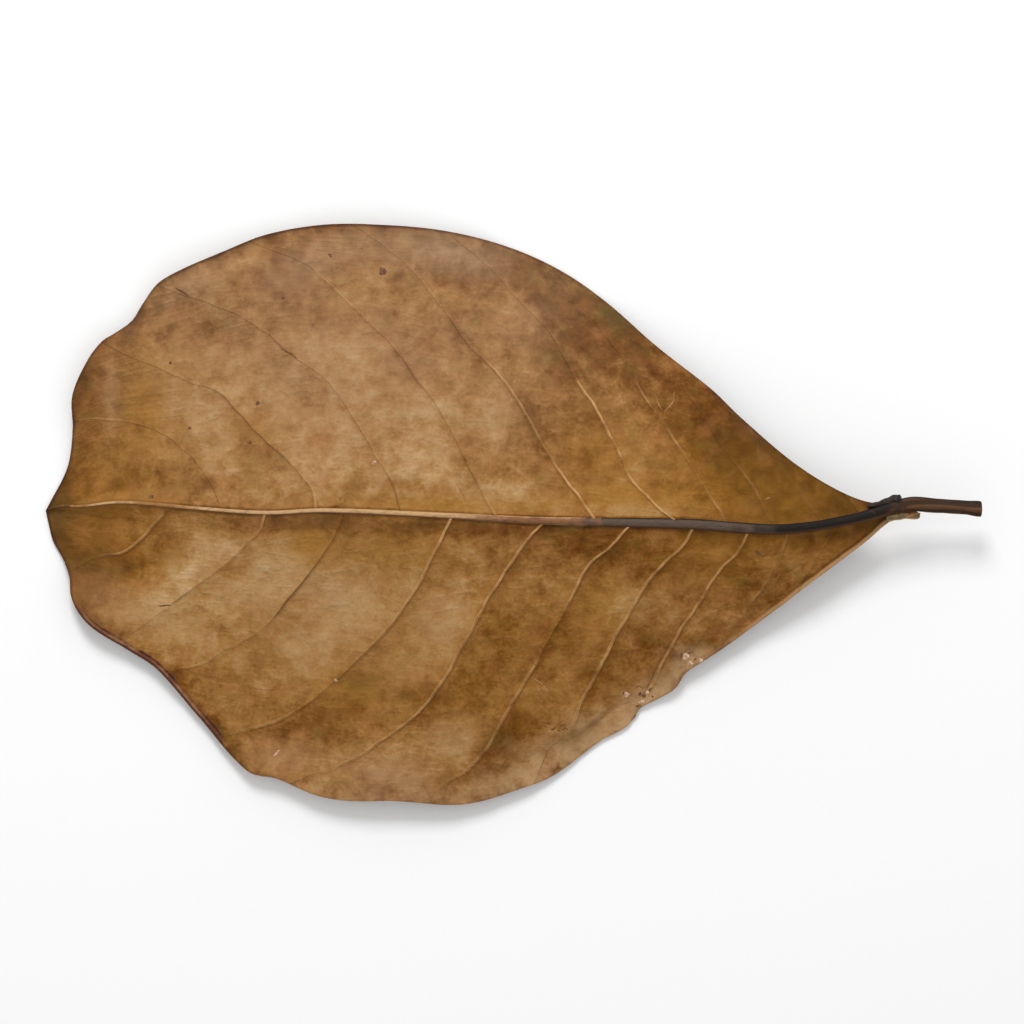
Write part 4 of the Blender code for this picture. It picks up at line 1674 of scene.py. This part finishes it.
@dataclass
class Studio:
    """Floor, lights and the camera above the leaf."""

    frame_width: float = 0.2214
    view_x: float = 0.0
    view_y: float = 0.0005
    lens: float = 150.0
    sensor: float = 36.0
    clip_start: float = 0.01
    key_watts: float = 7.0
    key_place: tuple = (-0.1, 0.75, 0.75)
    key_size: float = 0.35
    fill_strength: float = 0.75
    floor_size: float = 6.0
    floor_z: float = -0.2 * MM

    def build(self) -> None:
        """Set up everything round the leaf."""
        self.floor()
        self.lights()
        self.camera()

    def floor(self) -> None:
        """A wide pale floor just under the leaf."""
        bpy.ops.object.select_all(action="DESELECT")
        bpy.ops.mesh.primitive_plane_add(size=self.floor_size, location=(0.0, 0.0, self.floor_z))
        floor = bpy.context.object
        floor.name = "floor"
        floor.data.materials.append(FloorFinish().build())

    def lights(self) -> None:
        """A broad key light from beyond the leaf and an even white room."""
        world = bpy.data.worlds.new("room")
        world.use_nodes = True
        room = world.node_tree.nodes["Background"]
        room.inputs["Color"].default_value = (1.0, 1.0, 1.0, 1.0)
        room.inputs["Strength"].default_value = self.fill_strength
        bpy.context.scene.world = world
        bpy.ops.object.light_add(type="AREA", location=self.key_place)
        key = bpy.context.object
        key.name = "key"
        key.data.energy = self.key_watts
        key.data.size = self.key_size
        key.rotation_euler = (-Vector(key.location)).to_track_quat("-Z", "Y").to_euler()
        bpy.context.scene.view_settings.view_transform = "Standard"

    def camera(self) -> None:
        """A long lens that looks straight down on the leaf."""
        distance = self.frame_width * self.lens / self.sensor
        bpy.ops.object.camera_add(location=(self.view_x, self.view_y, distance))
        camera = bpy.context.object
        camera.data.lens = self.lens
        camera.data.sensor_width = self.sensor
        camera.data.clip_start = self.clip_start
        camera.rotation_euler = (0.0, 0.0, 0.0)
        bpy.context.scene.camera = camera


# Each row is x, y, half length, half width, turn in degrees and amount
STAINS_AND_SHADE = {
    # Tone patches are partly real stain and partly painted light and painted shade where the blade's
    # relief is lit or shaded.
    Tint.TONE: each(
        StainAndShade,
        # broad lighter and darker areas
        (48, 12, 34, 30, 0, 0.1), (45, -28, 24, 12, 0, 0.08), (78, -18, 22, 8, 15, 0.1),
        # (83, -3.4) is painted shadow under the midrib
        (5, 5, 8, 30, 0, -0.1), (58, 0, 20, 3, 0, -0.1), (83, -3.4, 26, 1.8, -1, -0.2),
        (105, 15, 20, 7, 0, -0.08), (118, 0, 18, 4, 0, 0.07), (152, 13.5, 14.5, 9, -30, -0.52),
        (156, -1.5, 13, 4, 0, -0.26), (164, 5, 16, 7, -14, -0.66), (172, -4, 13, 6, 0, -0.1),
        # lighter and darker patches of the upper half, tip to stalk
        (2, 3, 3, 6, 0, -0.3), (7, 24, 3, 12, 0, -0.1), (10, 0, 6, 3, 0, -0.18),
        (14, 26, 7, 13, 0, -0.2), (14.3, 26, 1, 7, 0, 0.14), (18.5, 39.5, 2.6, 4.5, -20, -0.3),
        (25, 7, 14, 7, 0, -0.18), (33, 20, 5, 8, 20, 0.18), (31, 36, 9, 6, 0, -0.1),
        (38, 41, 7, 3, -20, -0.08), (44.5, 14.8, 4, 1.8, -45, -0.24), (50, 11.5, 3, 1.5, -45, -0.1),
        (54, 51, 12, 7, 20, -0.24), (61, 40, 5, 4, 0, -0.15), (62, 10, 5, 6, 0, 0.14),
        (67, 31, 7, 6, 0, 0.14), (69, 20, 4, 5, 0, 0.08), (72, 40.5, 5, 4, 0, -0.14),
        (78.5, 31, 6, 6, 0, -0.23), (78, 9, 8, 6, 0, 0.14), (81, 46, 7, 3, 0, 0.08),
        (82, 21, 6, 7, 0, 0.22), (85, 57, 11, 3, -6, -0.14), (87, 6, 5, 5, 0, 0.12),
        (89, 39.5, 5, 4.5, 0, -0.2), (90, 53, 14, 6, -12, -0.28), (91, 29, 5, 5, 0, 0.08),
        (97, 20, 4.5, 7, 20, 0.2), (99, 46, 4, 4, 0, 0.12), (102, 30, 3, 4, 0, 0.1),
        (104, 22, 2.5, 9, 20, -0.12), (102, 5, 6, 4.5, 0, 0.22), (109, 33, 8, 8, -20, -0.14),
        (108, 47, 11, 5, -38, -0.22), (112, 20, 4, 4, 0, -0.08), (114, 9, 6, 4, 0, -0.08),
        (118, 35, 10, 8, -30, -0.1), (123, 43, 6, 3, -35, -0.1), (128, 33, 14, 7, -40, -0.16),
        # (166, -0.5) is painted shade along the upper edge of the midrib
        (130, 0.5, 8, 2, 0, 0.16), (166, -0.5, 15, 3, 8, -0.25),
        # lighter and darker patches of the lower half, tip to stalk
        (2.5, -4, 3, 6, 0, -0.25), (11, -10, 8, 3.5, 0, -0.42), (11, -21, 8, 5, -30, -0.1),
        (13, -5, 8, 3, 0, -0.14), (15, -14.5, 6, 4, 5, -0.2), (16, -11.6, 5, 1.8, 10, -0.18),
        (23, -19.5, 9, 4, 10, 0.2), (22, -31, 8, 2.5, -28, 0.1), (26, -8.5, 4, 3, 40, -0.18),
        # (30, -1) lightens the painted shadow under the midrib there
        (28, -25, 10, 5, -20, 0.16), (30, -1, 6, 2, 0, 0.18), (31, -13, 6, 5, 35, 0.24),
        (31, -35.5, 5, 3, -30, -0.12), (38, -8, 5, 3.5, 0, 0.24), (46, -16, 10, 6, 30, 0.2),
        (49, -50, 8, 6, 0, 0.1), (49, -31.5, 4, 3, 0, -0.14), (50, -47, 5, 1.8, 10, -0.16),
        (51, -10, 5, 6, 20, 0.14), (53, -2.6, 9, 1.4, 0, -0.25), (55.5, -30, 9, 4.5, 25, 0.18),
        (59, -46, 6, 4.5, 35, -0.2), (59, -11.5, 5, 4, 0, 0.12), (60, -57.5, 6, 3, -20, 0.16),
        (65, -19, 7, 5, 0, 0.28), (66, -46, 6, 3, 20, -0.12), (68, -37, 5, 3, 20, -0.22),
        (67, -42, 6, 3, 10, -0.12), (73, -52, 8, 5, 5, 0.22), (76, -60, 10, 3, 0, -0.08),
        (78, -39.5, 3, 1.2, 0, -0.25), (79, -34, 5, 4.5, 30, 0.14), (87, -24, 5.5, 8, -20, 0.22),
        (82, -38.5, 5, 3, 0, -0.2), (89, -49.5, 5, 3, 15, 0.28), (92, -39, 6, 4, 20, -0.14),
        (98, -50, 5.5, 3.5, 20, -0.24), (98, -11, 4, 4, 0, -0.12), (98, -28, 4, 8, -25, -0.08),
        (101, -46, 2.5, 4, -20, -0.14), (105, -30, 6, 8, -25, -0.13), (105, -38, 3, 3, 0, 0.16),
        (106, -54, 7, 4, 30, 0.08), (117, -7.5, 9, 4, 0, -0.2), (120, -45.5, 6, 3, 35, 0.1),
        (124, -22, 5, 6, -25, 0.2), (129, -29, 11, 7, -25, -0.1), (131, -20, 4, 4, 0, 0.12),
        (132, -10, 7, 3, -10, -0.16), (133, -35, 3, 2, 40, 0.12), (139, -25, 5, 6, -25, 0.1),
        (140, -30, 5, 3, 40, -0.22), (150, -13.5, 5.5, 4.5, -35, -0.18), (155, -9, 6, 4, -20, 0.12),
        # small dark spots with soft edges
        (17, 6, 2, 1.5, 0, -0.24), (20.9, 17.4, 0.9, 0.9, 0, -0.2),
        (24.5, 44.3, 1.8, 1.3, 40, -0.2), (36, 6, 2.2, 1.5, -25, -0.36),
        (62.8, -36.2, 1.6, 1.2, 30, -0.2), (115, 43, 1.8, 1.3, -40, -0.15),
        (129, -41, 2.4, 1.6, -30, -0.15), (138.4, -31.3, 2, 1.3, -30, -0.25),
        (153.6, -9, 1.6, 1.2, 0, -0.15),
    ),
    Tint.PINK: each(
        StainAndShade,
        (62, 32, 48, 24, 0, 0.45), (60, -22, 20, 14, -20, 0.3), (14.5, 24, 2, 7, 0, 0.4),
        (15, -20, 10, 5, -30, 0.35), (32, 49, 11, 4.5, 25, 0.35), (52, -53, 8, 4, 0, 0.35),
        (55, 53, 10, 5, 20, 0.3), (74, -56, 10, 4.5, 0, 0.5), (75, 57, 18, 5, 0, 0.4),
        (84, -26, 5, 8, -20, 0.25), (88, -48, 6, 4, 0, 0.3), (92, 55, 10, 5, -10, 0.4),
        (98, 20, 4, 6, 0, 0.2), (103, 42, 8, 6, -30, 0.25), (112, 50, 8, 4, -30, 0.2),
        (128, -43, 4, 2, -40, 0.5),
    ),
    Tint.OCHRE: each(
        StainAndShade,
        (75, -30, 65, 22, -12, 0.25), (14, 5, 14, 24, 0, 0.3), (22, 22, 5, 9, 0, 0.35),
        (45, 17, 6, 4, -45, 0.3), (57, -7, 6, 4, 0, 0.5), (66, -38, 6, 4, 0, 0.35),
        (75, -8, 12, 4, 0, 0.35), (88, 1.5, 26, 2.2, -1, 0.5), (118, 12, 8, 8, 0, 0.3),
        (120, -20, 8, 8, -30, 0.3), (125, 3, 10, 3, 0, 0.5), (142, -10, 10, 6, 0, 0.35),
        (154, 3, 26, 13, -15, 0.45),
    ),
    Tint.OLIVE: each(
        StainAndShade,
        (2, 0, 3.5, 7, 0, 0.3), (68, -37, 4, 2.4, 0, 0.25), (117, -48.5, 5, 2.2, 35, 0.2),
        (123, 42, 5.5, 3, -37, 0.6), (134, -36, 4, 2, 40, 0.25),
    ),
    Tint.FRECKLES: each(
        StainAndShade,
        (93, 54, 10, 5, 0, 0.22), (104, 44, 18, 10, -20, 0.24), (130, 27, 9, 8, 0, 0.18),
    ),
}

# Each row is x, y, half length, half width and turn in degrees
DARK_SPECKS = each(
    Speck,
    (73.1, 51.6, 0.9, 0.75), (61.7, 55.1, 0.45, 0.4), (51.6, 46.0, 0.45, 0.4),
    (46.2, 23.3, 0.5, 0.4), (27.3, 32.0, 0.35, 0.3), (23.4, 3.2, 0.6, 0.35),
    (31.5, 18.0, 0.35, 0.3), (44.6, 14.8, 0.45, 0.35), (30.0, 47.2, 1.7, 0.22, -30.0),
    (25.8, -20.2, 1.4, 0.16, 5.0), (128.4, -39.3, 0.5, 0.3, 60.0), (129.2, -39.8, 0.55, 0.36),
    (130.6, -38.4, 0.45, 0.22, 50.0), (128.1, -41.9, 0.7, 0.22, 10.0),
    (131.1, -39.9, 0.35, 0.18, -30.0), (124.9, -39.1, 0.3, 0.16, 80.0),
    (137.3, -30.7, 0.5, 0.18, 80.0), (139.2, -30.3, 0.7, 0.16, 15.0),
    (140.2, -31.8, 0.4, 0.16, 50.0), (153.3, -8.8, 0.7, 0.4, -20.0),
    (107.9, -46.1, 0.4, 0.1, -45.0), (108.8, -45.6, 0.3, 0.12, 20.0),
    (109.7, -46.6, 0.4, 0.12, 40.0), (110.9, -47.1, 0.35, 0.12, -15.0),
    (112.0, -46.6, 0.4, 0.1, 60.0),
)

PALE_SPECKS = each(
    Speck,
    (71.3, 10.5, 0.6, 0.3, 40.0), (62.8, -36.2, 0.5, 0.3, 30.0), (125.5, -39.5, 0.65, 0.48, 10.0),
    (130.0, -39.0, 0.45, 0.36, 30.0), (128.8, -41.1, 0.75, 0.4, 20.0),
    (138.2, -31.5, 0.85, 0.65, 60.0), (139.2, -32.6, 0.6, 0.36), (141.4, -32.0, 0.6, 0.4, 20.0),
    (50.0, -52.0, 0.2, 1.0, -35.0),
)

# Each row is a route of points (x, y)
FIBRES = (
    ((104.6, -35.4), (107.0, -36.8), (109.0, -39.6)),
    ((105.6, -37.4), (107.0, -38.8), (107.6, -40.4)),
    ((124.5, -25.5), (125.8, -27.0), (126.7, -29.6)),
    ((135.5, 26.0), (135.2, 23.6), (133.2, 21.2)),
    ((131.6, 24.8), (132.2, 22.8), (133.0, 21.6)),
    ((131.0, 17.2), (132.0, 16.6)),
    ((91.0, 2.0), (89.8, 4.6), (88.4, 6.6)),
    ((93.4, 3.4), (92.2, 5.8), (90.6, 8.4)),
    ((100.8, 26.4), (101.6, 28.2), (102.8, 28.6)),
    ((66.4, 45.6), (68.4, 43.4), (69.4, 40.6), (71.2, 41.2)),
    ((152.8, 3.6), (153.9, 3.3)),
    ((154.6, 2.5), (156.0, 3.1)),
)

CURLS = (
    ((108.7, -46.5), (109.6, -46.9), (110.2, -46.2)),
    ((111.5, -47.0), (112.2, -46.6), (112.9, -47.1)),
    ((107.2, -45.0), (108.2, -45.5), (109.2, -45.0)),
    ((110.6, -45.4), (111.4, -46.0), (112.4, -45.6)),
    ((127.4, -38.2), (128.2, -37.6), (129.0, -38.2)),
    ((153.2, -8.4), (154.2, -9.4), (155.4, -9.0)),
    ((50.9, 35.3), (51.9, 34.6), (53.3, 34.0), (54.9, 32.6)),
    ((51.4, 33.4), (52.8, 33.3)),
)

# In the order of the small parts in main
PLAIN_FINISHES = (
    PlainFinish("fibres", linear(164, 122, 78), linear(132, 92, 52), 1.2),
    PlainFinish("brown_curls", linear(84, 52, 26), linear(122, 82, 44), 0.8),
    PlainFinish("pale_spots", linear(206, 174, 148), linear(160, 118, 82), 0.6),
    PlainFinish("dark_spots", linear(88, 58, 40), linear(116, 78, 50), 0.6),
    PlainFinish("black_ear", linear(24, 18, 16), linear(52, 38, 30), 0.9),
    PlainFinish(
        "dry_flap", linear(92, 80, 54), linear(128, 104, 70), 1.1, linear(186, 152, 108)
    ),
)


def main() -> None:
    """Build the leaf and the studio, and log each piece's face count."""
    logging.basicConfig(level=logging.INFO, format="%(name)s: %(message)s")
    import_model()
    form = LeafForm()
    blade = Blade(form, STAINS_AND_SHADE).build()
    rib = Midrib(form).build()
    surface = BVHTree.FromObject(blade, bpy.context.evaluated_depsgraph_get())
    details = Details(form, surface)
    fibres = details.fibres("fibres", FIBRES)
    dark_specks = details.specks("dark_specks", DARK_SPECKS)
    pale_specks = details.specks("pale_specks", PALE_SPECKS)
    curls = details.fibres("curls", CURLS)
    knob, flap = Ears(form).knob(), Ears(form).flap()
    small_parts = (fibres, curls, pale_specks, dark_specks, knob, flap)
    finishes = {blade: DryBlade().build(form), rib: RibFinish().build()}
    for piece, plain in zip(small_parts, PLAIN_FINISHES):
        finishes[piece] = plain.build()
    for piece, finish in finishes.items():
        piece.data.materials.append(finish)
        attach(piece, "root")
        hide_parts(LEAF_NODE)
        log.info("%s: %d faces", piece.name, len(piece.data.polygons))
    Studio().build()


if __name__ == "__main__":
    main()
